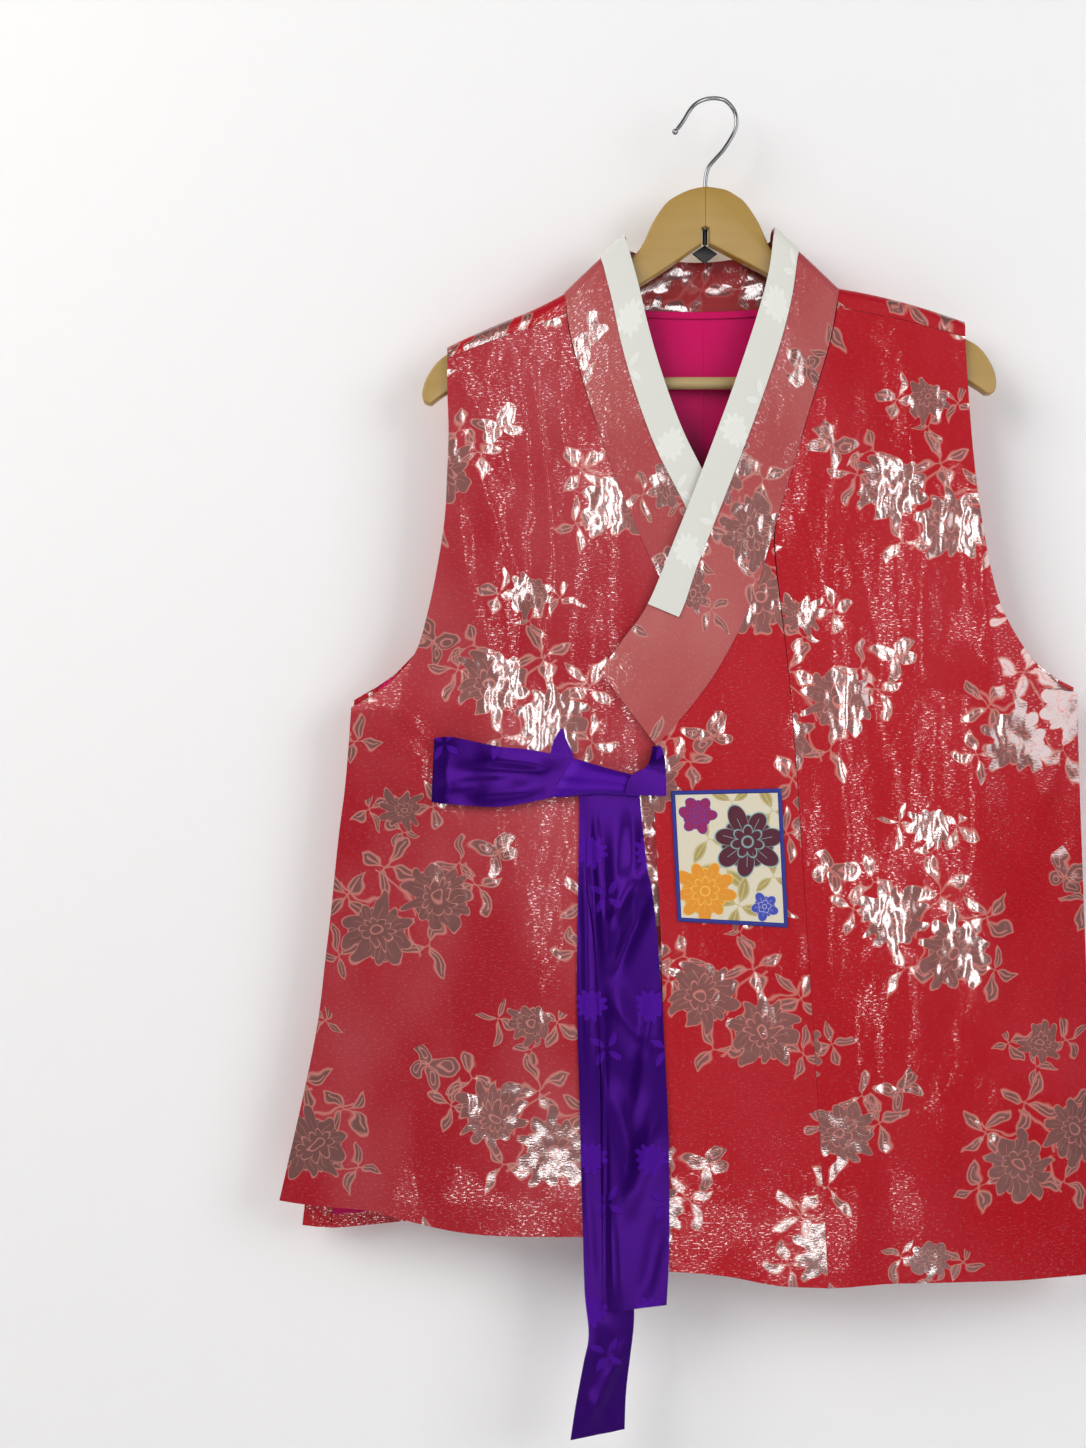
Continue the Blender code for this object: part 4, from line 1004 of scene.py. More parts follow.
# The left front's copy is pinker, with stronger clouds: painted sheen where the light grazes it.
red_brocade_painted_sheen = brocade_material("red_brocade_painted_sheen", (0.36, 0.010, 0.020), (0.46, 0.09, 0.105),
                                    (0.18, 0.056, 0.049), (0.56, 0.21, 0.18), 0.8)
# The collar's copy: its dusty-rose ground and paler clouds are painted sheen, and its inside behind
# the neck is darkened as painted shade.
collar_brocade = brocade_material("collar_brocade", (0.39, 0.06, 0.065), (0.50, 0.17, 0.16),
                                  (0.16, 0.052, 0.046), (0.52, 0.21, 0.18), 0.7,
                                  behind=(0.68, 0.30, 0.34))
print("brocades:", red_brocade.name, red_brocade_painted_sheen.name, collar_brocade.name)

# %% [markdown]
# The satins shine more than the brocade, and their figure is only a little paler or smoother than
# the ground. The lining is plain, with soft creases. Chrome and dark metal need no pattern.

# %% Satin, lining, binding and metal
SATIN_CREASES = (60.0, 24.0, 1.0)
LINING_CREASES = (30.0, 14.0, 1.0)
# How far a figure's outline goes back to the ground's colour, and how deep it is woven
LINE_BACK = 0.7
LINE_DEPTH = -0.12


def satin_material(name, colour, figure, sheen, roughness, figure_rough, repeat, shift_by, spec):
    """Smooth satin with a figure of its own colour."""
    material, s, shader = new_material(name, colour, roughness)
    place_uv = s.vector("ADD", uv_of(s), shift_by)
    motif = s.group("Satin figure", Place=place_uv, Repeat=repeat)
    base = s.mix(motif["Fill"], (*colour, 1.0), (*figure, 1.0))
    base = s.mix(s.math("MULTIPLY", motif["Line"], LINE_BACK), base, (*colour, 1.0))
    s.link(base, shader.inputs["Base Color"])
    rough = s.scaled(motif["Fill"], figure_rough - roughness, roughness)
    s.link(rough, shader.inputs["Roughness"])
    gloss(shader, spec, sheen)
    height = s.math("MULTIPLY_ADD", motif["Line"], LINE_DEPTH, s.noise(place_uv, SATIN_CREASES)[0])
    bump(s, shader, height, 0.0012, 0.2)
    return material


purple_satin = satin_material(
    "purple_satin", colour=(0.010, 0.0002, 0.062), figure=(0.042, 0.003, 0.21),
    sheen=(0.34, 0.05, 1.0), roughness=0.26, figure_rough=0.42, repeat=(46.0, 118.0, 0.0),
    shift_by=(0.0, 0.012, 0.0), spec=0.8)
white_satin = satin_material(
    "white_satin", colour=(0.73, 0.73, 0.67), figure=(0.82, 0.82, 0.77),
    sheen=(1.0, 1.0, 1.0), roughness=0.5, figure_rough=0.4, repeat=(60.0, 104.0, 0.0),
    shift_by=(-0.0135, 0.0, 0.0), spec=0.3)

pink_lining, s, shader = new_material("pink_lining", (0.58, 0.002, 0.10), 0.5)
gloss(shader, 0.25, (1.0, 0.3, 0.6))
bump(s, shader, s.noise(uv_of(s), LINING_CREASES)[0], 0.003, 0.6)
blue_binding, s, shader = new_material("blue_binding", (0.018, 0.03, 0.26), 0.5)
gloss(shader, 0.2)
chrome = new_material("chrome", (0.24, 0.24, 0.25), 0.12, 1.0)[0]
dark_metal = new_material("dark_metal", (0.012, 0.011, 0.012), 0.35, 0.6)[0]
print("satins:", purple_satin.name, white_satin.name, "metals:", chrome.name, dark_metal.name)

# %% [markdown]
# The wood is a pale varnished board. Its grain is noise on Object coordinates, drawn out along the
# board, because the pieces have no UV map.

# %% Wood
# Grain: the noise over which it is dark, how sharp it is and how strong
GRAIN_OVER = 0.42
GRAIN_SHARP = 2.2
GRAIN_SHARE = 0.35
WOOD_COAT = 0.12


def wood_material(name, colour, dark, along):
    """Varnished wood, with its grain drawn out along the board."""
    material, s, shader = new_material(name, colour, 0.42)
    grain = s.noise(s.node("ShaderNodeTexCoord").outputs["Object"], along, 4.0)[0]
    share = s.scaled(s.math("SUBTRACT", grain, GRAIN_OVER), GRAIN_SHARP, clamp=True)
    s.link(s.mix(s.math("MULTIPLY", share, GRAIN_SHARE), (*colour, 1.0), (*dark, 1.0)),
           shader.inputs["Base Color"])
    shader.inputs["Coat Weight"].default_value = WOOD_COAT
    shader.inputs["Coat Roughness"].default_value = 0.3
    return material


pale_wood = wood_material("pale_wood", (0.40, 0.235, 0.034), (0.27, 0.14, 0.012),
                          (14.0, 60.0, 120.0))
bar_wood = wood_material("bar_wood", (0.46, 0.33, 0.13), (0.30, 0.19, 0.06),
                         (12.0, 200.0, 200.0))
print("woods:", pale_wood.name, bar_wood.name)

# %% [markdown]
# The patch has a plain general design of its own: four flowers and six whorls of leaves in silk
# colours, with the stitches as a fine noise.

# %% Patch satin
STITCHES = (0.5, 2.2, 1.0)
LEAF_COLOUR = (0.42, 0.32, 0.10, 1.0)
LEAF_LINE = (0.62, 0.52, 0.25, 1.0)
PATCH_FLOWERS = (
    # x, z, radius, petals, turn, petal colour, line colour
    (-19, -25, 24, 9, 0.2, (0.80, 0.30, 0.02), (0.93, 0.55, 0.08)),
    (14, 13, 28, 7, 0.7, (0.085, 0.006, 0.022), (0.30, 0.50, 0.50)),
    (-25, 34, 15, 6, 0.1, (0.30, 0.006, 0.11), (0.04, 0.05, 0.45)),
    (27, -37, 11, 5, 0.5, (0.05, 0.07, 0.45), (0.62, 0.62, 0.75)),
)
PATCH_LEAVES = (
    (-4, -6, 25, 0.2, 3, 0.9), (7, -36, 22, 0.22, 4, 0.4), (-16, 15, 21, 0.2, 3, 2.3),
    (33, 37, 21, 0.2, 3, 0.2), (2, 44, 17, 0.2, 3, 1.6), (34, -14, 17, 0.2, 3, 2.6),
)
patch_satin, s, shader = new_material("patch_satin", (0.78, 0.71, 0.56), 0.5)
gloss(shader, 0.2)
flat_mm = s.vector("MULTIPLY", uv_of(s), TO_MM)
stitch = s.noise(flat_mm, STITCHES)[0]
colour = s.mix(stitch, (0.80, 0.74, 0.60, 1.0), (0.72, 0.63, 0.46, 1.0))
leaf_fills, leaf_lines = motifs(s, flat_mm, "Leaves", LEAF_VALUES, PATCH_LEAVES)
for fill, line in zip(leaf_fills, leaf_lines):
    colour = s.mix(line, s.mix(fill, colour, LEAF_COLOUR), LEAF_LINE)
flower_fills, flower_lines = motifs(s, flat_mm, "Blossom", BLOSSOM_VALUES,
                                    [row[:5] for row in PATCH_FLOWERS])
for fill, line, row in zip(flower_fills, flower_lines, PATCH_FLOWERS):
    colour = s.mix(line, s.mix(fill, colour, (*row[5], 1.0)), (*row[6], 1.0))
s.link(colour, shader.inputs["Base Color"])
raised = s.most(*leaf_fills, *flower_fills)
bump(s, shader, s.math("ADD", raised, s.math("MULTIPLY", stitch, 0.5)), 0.0006, 0.8)
print("materials:", len(bpy.data.materials))

# %% [markdown]
# ## The panels
#
# A panel is ruled between its outer outline and its inner one, and its ends are bent to the
# shoulder seam and the hem. The flat cut keeps the same x and z, so the woven pattern runs
# straight down each panel, as in real cloth cut on the straight grain.

# %% Fronts and gusset
ARMHOLE_ROWS = 54
SIDE_ROWS = 84
NECK_ROWS = 30
WRAP_STEPS = 12
FRONT_COLUMNS = 84
SEOP_COLUMNS = 42
# Middle of a large spray on each panel, as the photo has it
SPRAY_LEFT = (-143, -472)
SPRAY_RIGHT = (168, -320)
SPRAY_SEOP = (20, -713)


def panel_points(outer, inner, top, hem, across):
    """Rule a flat panel between two outlines and bend its ends to the top and the hem."""
    fall = outer[-1, 1] - outer[0, 1]
    share = ((outer[:, 1] - outer[0, 1]) / fall)[:, None, None]
    side = np.asarray(across)[None, :, None]
    flat = between(outer[:, None], inner[:, None], side)
    top_line = between(outer[0], inner[0], side)
    hem_line = between(outer[-1], inner[-1], side)
    flat = flat + (1 - share) ** 3 * (at_share(top, across)[None] - top_line)
    return flat + share ** 3 * (at_share(hem, across)[None] - hem_line)


def level_rows(outer, inner):
    """Pair each outer row with the inner outline at the same share of its height."""
    fall = outer[-1, 1] - outer[0, 1]
    inner_fall = inner[-1, 1] - inner[0, 1]
    return points_at(inner, inner[0, 1] + inner_fall * (outer[:, 1] - outer[0, 1]) / fall)


def shift(points, dx):
    """Move flat points sideways."""
    return points + np.array([dx, 0.0])


def edge_rows(armhole, side):
    """Space a panel's rows along its armhole and its side."""
    return np.vstack([spaced(armhole, ARMHOLE_ROWS), spaced(side, SIDE_ROWS)[1:]])


def cut_uv(points, spray):
    """Flat place in metres, measured from where the photo has the middle of a large spray."""
    return (points - np.array(spray)) * MM


front_across = np.linspace(0, 1, FRONT_COLUMNS + 1)

left_outer = edge_rows(smooth(ARMHOLE_LEFT), smooth(SIDE_LEFT))
left_inner = np.vstack([below(SEAM_LEFT, SHOULDER_SEAM_LEFT[-1][1]), smooth(UNDERLAP_EDGE)[1:]])
left_flat = panel_points(left_outer, level_rows(left_outer, left_inner), smooth(SHOULDER_SEAM_LEFT),
                         smooth(HEM_FRONT_LEFT), front_across)
left_grid = left_front(left_flat[..., 0], left_flat[..., 1])
front_left = cloth("cloth_front_left", left_grid, cut_uv(left_flat, SPRAY_LEFT), (0, -1, 0),
                   (red_brocade_painted_sheen, pink_lining), PANEL_WALL, "front_left", inner=1)

right_outer = edge_rows(smooth(ARMHOLE_RIGHT), smooth(SIDE_RIGHT))
right_collar = below(SEAM_RIGHT, SHOULDER_SEAM_RIGHT[-1][1])
right_inner = np.vstack([right_collar[right_collar[:, 1] > SEOP_SEAM[0][1]],
                         shift(smooth(SEOP_SEAM), SEAM_GAP / 2)])
right_flat = panel_points(right_outer, level_rows(right_outer, right_inner),
                          smooth(SHOULDER_SEAM_RIGHT),
                          shift(smooth(HEM_FRONT_RIGHT), SEAM_GAP / 2), front_across)
right_grid = right_front(right_flat[..., 0], right_flat[..., 1])
front_right = cloth("cloth_front_right", right_grid, cut_uv(right_flat, SPRAY_RIGHT),
                    (0, -1, 0), (red_brocade, pink_lining), PANEL_WALL, "front_right",
                    inner=1)

seop_seam = shift(smooth(SEOP_SEAM), -SEAM_GAP / 2)
seop_edge = np.vstack([spaced(below(SEAM_RIGHT, SEOP_SEAM[0][1] - SEOP_POINT), ARMHOLE_ROWS),
                       spaced(smooth(SEOP_EDGE), SIDE_ROWS)[1:]])
seop_outer = level_rows(seop_edge, seop_seam)
seop_flat = panel_points(seop_outer, seop_edge, np.array([seop_outer[0], seop_edge[0]]),
                         shift(smooth(HEM_SEOP), -SEAM_GAP / 2),
                         np.linspace(0, 1, SEOP_COLUMNS + 1))
seop_grid = right_front(seop_flat[..., 0], seop_flat[..., 1])
seop = cloth("cloth_seop", seop_grid, cut_uv(seop_flat, SPRAY_SEOP), (0, -1, 0),
             (red_brocade, pink_lining), PANEL_WALL, "seop_right", inner=1)
print("rows and columns of a front:", left_grid.shape[:2], "of the gusset:", seop_grid.shape[:2])

# %% [markdown]
# The back is cut in two halves. Each rolls over the hanger to a shoulder seam in front, so its
# flat cut is worked out first and then bent over. The lining and the facing are the same grid,
# moved inwards along its normals, so they nest in it without crossing. The lining hangs on over
# the facing's upper edge and ends a little above the hem.

# %% Back, lining and facing
# Grid rows and columns that the lining leaves out at the shoulder and the side edge
LINING_SKIPS = (WRAP_STEPS + 4, 2)
FACING_ROWS = 4
# Rows from the end where the lining stops, and how far back towards the row above
LINING_STOPS = 3
LINING_PART = 0.2
# How far the lining lies off the facing
LINING_OVER = 1.4
SPRAY_BACK = (110, -330)
# Columns of a back half, as shares of its width: two by the edge, then even ones
BACK_EDGE = (0.0, 0.035)
BACK_FROM = 0.07
BACK_COLUMNS = 60


def back_flat(seam_in_front, armhole, side, hem, neck, centre, across):
    """Flat cut of a back half: the roll over the shoulder, then the armhole and the side."""
    tip = seam_in_front[0]
    top = np.stack([seam_in_front[:, 0],
                    flat_height(seam_in_front[:, 0], seam_in_front[:, 1] + GAP)], axis=-1)
    foot_outer = float(ridge_height(tip[0])) - WRAP_RISE
    foot_inner = float(ridge_height(top[-1, 0])) - WRAP_RISE
    step = (np.arange(WRAP_STEPS) / WRAP_STEPS)[:, None]
    outer = between(top[0], np.array([tip[0], foot_outer]), step)
    inner = between(top[-1], np.array([top[-1, 0], foot_inner]), step)
    edge = np.vstack([[(tip[0], foot_outer)], armhole[armhole[:, 1] < foot_outer - WRAP_CLEAR]])
    outer = np.vstack([outer, edge_rows(edge, side)])
    neck = np.vstack([neck[:-1], [(centre, neck[-1, 1])]])
    hem = np.vstack([hem[:-1], [(centre, hem[-1, 1])]])
    rest = len(outer) - WRAP_STEPS - NECK_ROWS - 1
    inner = np.vstack([inner, spaced(neck, NECK_ROWS),
                       spaced(np.array([neck[-1], hem[-1]]), rest)[1:]])
    return panel_points(outer, inner, top, hem, across)


def part_way(rows, upto):
    """Cut a grid short between two of its rows."""
    last = rows[-upto] + (rows[-upto - 1] - rows[-upto]) * LINING_PART
    return np.vstack([rows[:-upto], last[None]])


back_across = np.concatenate([BACK_EDGE, np.linspace(BACK_FROM, 1, BACK_COLUMNS)])
half_cuts = {
    "left": (smooth(SHOULDER_SEAM_LEFT),
             np.vstack([smooth(ARMHOLE_LEFT[:-3]), BACK_UNDERARM_LEFT]), smooth(BACK_SIDE_LEFT),
             smooth(HEM_BACK_LEFT), SEAM_BACK[SEAM_BACK[:, 0] <= BACK_CENTRE + 0.01],
             BACK_CENTRE - SEAM_GAP / 2),
    "right": (smooth(SHOULDER_SEAM_RIGHT),
              np.vstack([smooth(ARMHOLE_RIGHT[:-3]), BACK_UNDERARM_RIGHT]),
              smooth(BACK_SIDE_RIGHT), smooth(HEM_BACK_RIGHT),
              SEAM_BACK[::-1][SEAM_BACK[::-1, 0] >= BACK_CENTRE - 0.01],
              BACK_CENTRE + SEAM_GAP / 2),
}
for side, way in (("left", -1), ("right", 1)):
    flat = back_flat(*half_cuts[side], back_across)
    grid = over_hanger(flat[..., 0], flat[..., 1])
    uv = cut_uv(flat, (way * SPRAY_BACK[0], SPRAY_BACK[1]))
    piece = cloth("cloth_back_" + side, grid, uv, (0, 1, 0), (red_brocade,), PANEL_WALL,
                  "back_" + side)
    rows, columns = LINING_SKIPS
    inside = moved(grid, way * ON_CLOTH)[rows:, columns:]
    inside_uv = uv[rows:, columns:]
    over = moved(inside, way * LINING_OVER)
    cut = len(inside) - FACING_ROWS
    hung = part_way(np.vstack([inside[:cut - 1], over[cut - 1:]]), LINING_STOPS)
    lining = cloth("cloth_lining_" + side, hung, part_way(inside_uv, LINING_STOPS), (0, -1, 0),
                   (pink_lining,), TRIM_WALL, "lining_back_" + side)
    facing = cloth("cloth_facing_" + side, inside[cut:], inside_uv[cut:], (0, -1, 0),
                   (red_brocade,), TRIM_WALL, "facing_back_" + side)

# %% [markdown]
# ## The collar
#
# The red band runs from its low end on the left front, round the back of the neck, to the long end
# that crosses the front. It could be bent from a flat strip, but its two edges have their own
# curves, so it is ruled between two rails. It bulges a little, as cloth does over a stiffening, so
# that it catches a soft light.

# %% Red band
BAND_COLUMNS = 20
TURN_STEPS = 8
COLLAR_PUFF = 0.4
# Where the collar's cut lies on the brocade, in metres
COLLAR_CUT = (0.062, 0.051)


def length_along(line):
    """Distance of each point along a line of points."""
    return np.concatenate([[0.0], np.cumsum(np.linalg.norm(np.diff(line, axis=0), axis=1))])


def grid_uv(across, along):
    """Make a UV map in metres from millimetres."""
    return np.stack(np.broadcast_arrays(across, along), axis=-1) * MM


def turn_rows(row, way):
    """Rows where the collar turns over the shoulder."""
    neck_x, neck_z, seam_x, seam_z = row
    angle = math.pi * np.arange(1, TURN_STEPS) / TURN_STEPS
    y = -way * WRAP_DEPTH * np.cos(angle)
    rise = WRAP_RISE * np.sin(angle)
    return place(neck_x, y, neck_z + rise), place(seam_x, y, seam_z + rise)


left_rows = smooth(COLLAR_LEFT)[::-1]
back_rows = smooth(COLLAR_BACK)
right_rows = smooth(COLLAR_RIGHT)
lean = COLLAR_LEAN * ease(1.0 - np.abs(back_rows[:, 0]) / COLLAR_LEAN_WIDTH)
rail_parts = [
    (left_front(left_rows[:, 0], left_rows[:, 1]), left_front(left_rows[:, 2], left_rows[:, 3])),
    turn_rows(COLLAR_BACK[0], 1),
    (back(back_rows[:, 0], back_rows[:, 1], lean), back(back_rows[:, 2], back_rows[:, 3])),
    turn_rows(COLLAR_BACK[-1], -1),
    (right_front(right_rows[:, 0], right_rows[:, 1]),
     right_front(right_rows[:, 2], right_rows[:, 3])),
]
neck_rail = np.vstack([part[0] for part in rail_parts])
seam_rail = np.vstack([part[1] for part in rail_parts])
band_width = np.linalg.norm(seam_rail - neck_rail, axis=1)
seam_rail = seam_rail - (neck_rail - seam_rail) / band_width[:, None] * COLLAR_OVER

band_share = np.linspace(0, 1, BAND_COLUMNS + 1)
share = band_share[None, :, None]
band = between(neck_rail[:, None], seam_rail[:, None], share)
bulge = COLLAR_OVER + COLLAR_PUFF * np.sin(math.pi * share)
band_normal = moved(band, -1.0) - band
band_along = length_along(band[:, BAND_COLUMNS // 2])
band_uv = grid_uv(band_share[None] * band_width[:, None], band_along[:, None])
collar = cloth("cloth_git", band + band_normal * bulge, band_uv + np.array(COLLAR_CUT),
               (0, -1, 0), (collar_brocade,), PANEL_WALL, "git")
print("length of the collar:", round(float(band_along[-1])), "mm")

# %% [markdown]
# The white band takes the wear along the neck edge. It is ruled from the same rails, so it follows
# every turn of the red one. It ends square on the right and under the other band on the left.

# %% White band
WHITE_WIDTH = 25.0
WHITE_EASE = 0.15
# Half rows of the collar's tables that the band covers on each side, and its lowest corner
WHITE_END_LEFT = 12
WHITE_END_RIGHT = 14
WHITE_CORNER = (-24, -408)
WHITE_CORNER_LIFT = 0.3
WHITE_COLUMNS = 8
WHITE_PUFF = 0.35
END_ROWS = 9
END_PULL = 1.4

first_row = len(left_rows) - 1 - WHITE_END_LEFT * CURVE_STEPS // 2
last_row = len(neck_rail) - len(right_rows) + WHITE_END_RIGHT * CURVE_STEPS // 2
white_share = np.linspace(0, 1, WHITE_COLUMNS + 1)
share = white_share[None, :, None]
white_part = (WHITE_WIDTH / band_width)[:, None, None]
white = band[:, :1] + (band[:, -1:] - band[:, :1]) * share * white_part
white_lift = (COLLAR_OVER + ON_CLOTH + WHITE_EASE) + WHITE_PUFF * np.sin(math.pi * share) ** 0.5
white = (white + band_normal[:, :1] * white_lift)[first_row:last_row + 1]
corner = right_front(*np.array(WHITE_CORNER, float), COLLAR_OVER + ON_CLOTH + WHITE_CORNER_LIFT)
pull = ease((np.arange(len(white)) - len(white) + 1 + END_ROWS) / END_ROWS) ** END_PULL
white = white + (corner - white[-1, -1]) * pull[:, None, None] * share
white_uv = grid_uv(white_share[None] * WHITE_WIDTH, band_along[first_row:last_row + 1, None])
dongjeong = cloth("cloth_dongjeong", white, white_uv, (0, -1, 0), (white_satin,), TRIM_WALL,
                  "dongjeong")
print("length of the white band:", round(float(np.ptp(white_uv[..., 1])), 3), "m")

# %% [markdown]
# Inside the back neck a narrow pink binding covers the collar's seam. It is a strip along that
# seam with two small bulges, and it is so narrow that it is declared with the collar.

# %% Neck binding
PIPING_LEFT = -72.0
PIPING_RIGHT = 62.0
PIPING_ABOVE = 2.0
PIPING_BELOW = 3.0
PIPING_COLUMNS = 60
PIPING_ROWS = 6
PIPING_PUFF = 0.5
seam_x = SEAM_BACK[:, 0]
piping_line = spaced(SEAM_BACK[(seam_x >= PIPING_LEFT) & (seam_x <= PIPING_RIGHT)],
                     PIPING_COLUMNS)
piping_x = piping_line[:, None, 0]
piping_down = np.linspace(PIPING_ABOVE, -PIPING_BELOW, PIPING_ROWS + 1)[None]
piping_puff = PIPING_PUFF * np.abs(np.sin(2 * math.pi * np.linspace(0, 1, PIPING_ROWS + 1)))[None]
piping_grid = back(piping_x, piping_line[:, None, 1] + piping_down,
                   -(ON_CLOTH + GAP + TRIM) - piping_puff)
piping = cloth("cloth_neck_piping", piping_grid, grid_uv(piping_x, piping_down), (0, -1, 0),
               (pink_lining,), TRIM_WALL, "neck_piping")

# %% [markdown]
# ## The ribbon
#
# Two strips of purple satin are tied in a half bow. Each stretch that shows is a piece of its own:
# the tie that comes from the collar's end, the loop and the small peak above it, the knot, and
# two long tails. Creases run into the knot and down the tails.

# %% Tables of the ribbon
# Ribbon strips: left x, z, right x, z and the lift off the front at left and right
TAIL_FRONT = (
    (-94, -538, -54, -538.5, 3.0, 3.4),
    (-94, -549.5, -54, -550, 3.4, 4.6),
    (-95, -612, -49, -600, 3.4, 6.4),
    (-91, -643, -44.5, -622, 4.2, 6.6),
    (-87, -690, -40, -668, 3.4, 6.6),
    (-84.5, -760, -35.5, -740, 4.0, 6.6),
    (-83.5, -822, -32.5, -810, 3.6, 6.8),
    (-83, -900, -32, -890, 4.2, 6.6),
    (-83, -945, -34, -938, 4.0, 6.8),
)
TAIL_REAR = (
    (-101, -538, -66, -538.5, 1.6, 1.6),
    (-101, -549.5, -66, -550, 1.7, 1.7),
    (-102, -620, -66, -620, 1.7, 1.7),
    (-103, -700, -64, -700, 1.7, 1.7),
    (-101, -780, -62, -780, 1.9, 1.7),
    (-98.5, -880, -60, -880, 1.7, 1.7),
    (-97, -930, -59, -930, 1.7, 1.7),
    (-94, -962, -59, -955, 3.5, 0.5),
    (-98, -984, -62, -982, 4.5, -1.0),
    (-104, -1017, -65, -1010, 3.0, -2.0),
    (-108, -1044, -66, -1037, 2.0, -2.0),
)
TIE = (
    (-44.5, -508, -38, -508, 6.0, 6.0),
    (-45.5, -514, -35.5, -516, 8.5, 8.0),
    (-50, -524, -34.6, -527, 14.0, 11.0),
    (-62, -531, -34.4, -536, 16.2, 12.0),
    (-67, -545, -34.3, -546.5, 16.0, 12.0),
)
PEAK = (
    (-115.5, -494.5, -113, -494.5, 2.2, 2.2),
    (-119.5, -501, -112, -501, 2.4, 2.8),
    (-121.5, -506, -108.5, -508.5, 2.6, 3.4),
    (-123, -511, -106.5, -512.6, 3.0, 3.6),
    (-124, -519, -105, -521, 3.8, 4.2),
)
# Bow loop, round its fold: top x, z, bottom x, z and the lift off the front
LOOP = (
    (-112, -515, -129, -546, 2.0), (-163, -509, -163, -553, 2.0), (-198, -502.5, -199, -551, 2.0),
    (-209, -502, -210, -550, 2.4), (-213.5, -502, -215.5, -551, 3.8),
    (-210.5, -501.5, -212, -552, 5.6), (-200, -501, -201, -553, 6.6),
    (-180, -505, -181, -554.5, 6.2), (-163, -508.5, -163, -555, 6.4),
    (-138, -511, -142, -552, 6.4), (-104, -518, -121.5, -547.5, 6.6),
)

# Creases of the tails: as those of the cloth
RIBBON_CREASES = (
    (-90, -552, -82, -668, 1.6, 1.3), (-72, -552, -76, -700, 5, 1.5),
    (-60, -552, -58, -640, 4, -1.2), (-50, -596, -80, -646, 5, 2.4),
    (-44, -618, -78, -690, 3.5, -2.0), (-82, -700, -50, -742, 6, 2.4),
    (-42, -690, -56, -790, 4, 1.8), (-80, -760, -58, -840, 5, -1.8),
    (-38, -788, -66, -868, 5, 2.2), (-78, -850, -74, -940, 3.5, 1.8),
    (-36, -860, -52, -935, 5, -1.6), (-82, -690, -80, -940, 1.8, -1.2),
    (-97, -560, -93, -780, 2.6, 1.0), (-98, -790, -90, -930, 2.6, -1.0),
    (-62, -962, -98, -1036, 4, 1.8), (-90, -952, -66, -1000, 3.5, -1.2),
    (-100, -1000, -74, -1040, 3, 1.0),
)
# Creases of the bow: they show on its front half and die out towards the knot
LOOP_CREASES = (
    (-120, -530, -200, -528, 4.5, -1.6), (-112, -524, -176, -516, 3.2, 1.3),
    (-124, -540, -186, -546, 3.2, 1.2), (-150, -534, -206, -540, 3, 0.9),
    (-204, -506, -206, -548, 3, 0.5),
)
print("creases in the ribbon:", len(RIBBON_CREASES) + len(LOOP_CREASES))

# %% Ribbon pieces


def ribbon_point(x, z, lift):
    """Place a ribbon point at a lift from the left front, without the cloth's small creases."""
    return place(x, -(half_depth(x, z) + fold_height(FOLDS_LEFT, x, z) + lift), z)


def strip(name, table, columns, creases, node):
    """One stretch of ribbon, from a table of its two edges."""
    rows = smooth(table)
    share = np.linspace(0, 1, columns + 1)[None]
    x = between(rows[:, :1], rows[:, 2:3], share)
    z = between(rows[:, 1:2], rows[:, 3:4], share)
    lift = between(rows[:, 4:5], rows[:, 5:6], share)
    grid = ribbon_point(x, z, lift + fold_height(creases, x, z))
    piece = cloth(name, grid, grid_uv(x, z), (0, -1, 0), (purple_satin,), RIBBON_WALL, node)
    return piece, grid


# Strips: piece, table, columns, creases, node and the piece that it lies on
STRIPS = (
    ("ribbon_tail_rear", TAIL_REAR, 20, RIBBON_CREASES, "goreum_tail_rear", "ribbon_knot"),
    ("ribbon_tail_front", TAIL_FRONT, 28, RIBBON_CREASES, "goreum_tail_front", "ribbon_knot"),
    ("ribbon_tie", TIE, 14, (), "goreum_tie", "cloth_git"),
    ("ribbon_peak", PEAK, 12, (), "goreum_peak", "ribbon_loop"),
)
strips = [strip(*row[:5]) for row in STRIPS]
print("rows and columns of the strips:", [grid.shape[:2] for piece, grid in strips])

# %% [markdown]
# The loop of the bow runs out behind, folds back at its left end and comes forward again. It is one
# grid that follows this way round, so the fold is a real one.

# %% Bow loop
LOOP_COLUMNS = 24
KNOT_EDGE = -100.0
BOW_RUN = 30.0
FRONT_LIFT = 5.0
FRONT_RUN = 1.5
loop_rows = smooth(LOOP)
down = np.linspace(0, 1, LOOP_COLUMNS + 1)[None]
loop_x = between(loop_rows[:, :1], loop_rows[:, 2:3], down)
loop_z = between(loop_rows[:, 1:2], loop_rows[:, 3:4], down)
bow_out = ease((KNOT_EDGE - loop_x) / BOW_RUN)
in_front = ease((loop_rows[:, 4:5] - FRONT_LIFT) / FRONT_RUN)
loop_crease = fold_height(LOOP_CREASES, loop_x, loop_z) * in_front
loop_grid = ribbon_point(loop_x, loop_z, loop_rows[:, 4:5] + loop_crease * bow_out)
loop_along = length_along(loop_grid[:, LOOP_COLUMNS // 2])
loop = cloth("ribbon_loop", loop_grid, grid_uv(loop_along[:, None], loop_z), (0, -1, 0),
             (purple_satin,), RIBBON_WALL, "goreum_loop")
print("length of the loop:", round(float(loop_along[-1])), "mm")

# %% [markdown]
# The knot is a grid wrapped round into a lumpy tube. Its seam is welded and its two ends are
# filled. Pleats run along it, where the ribbon is pulled tight.

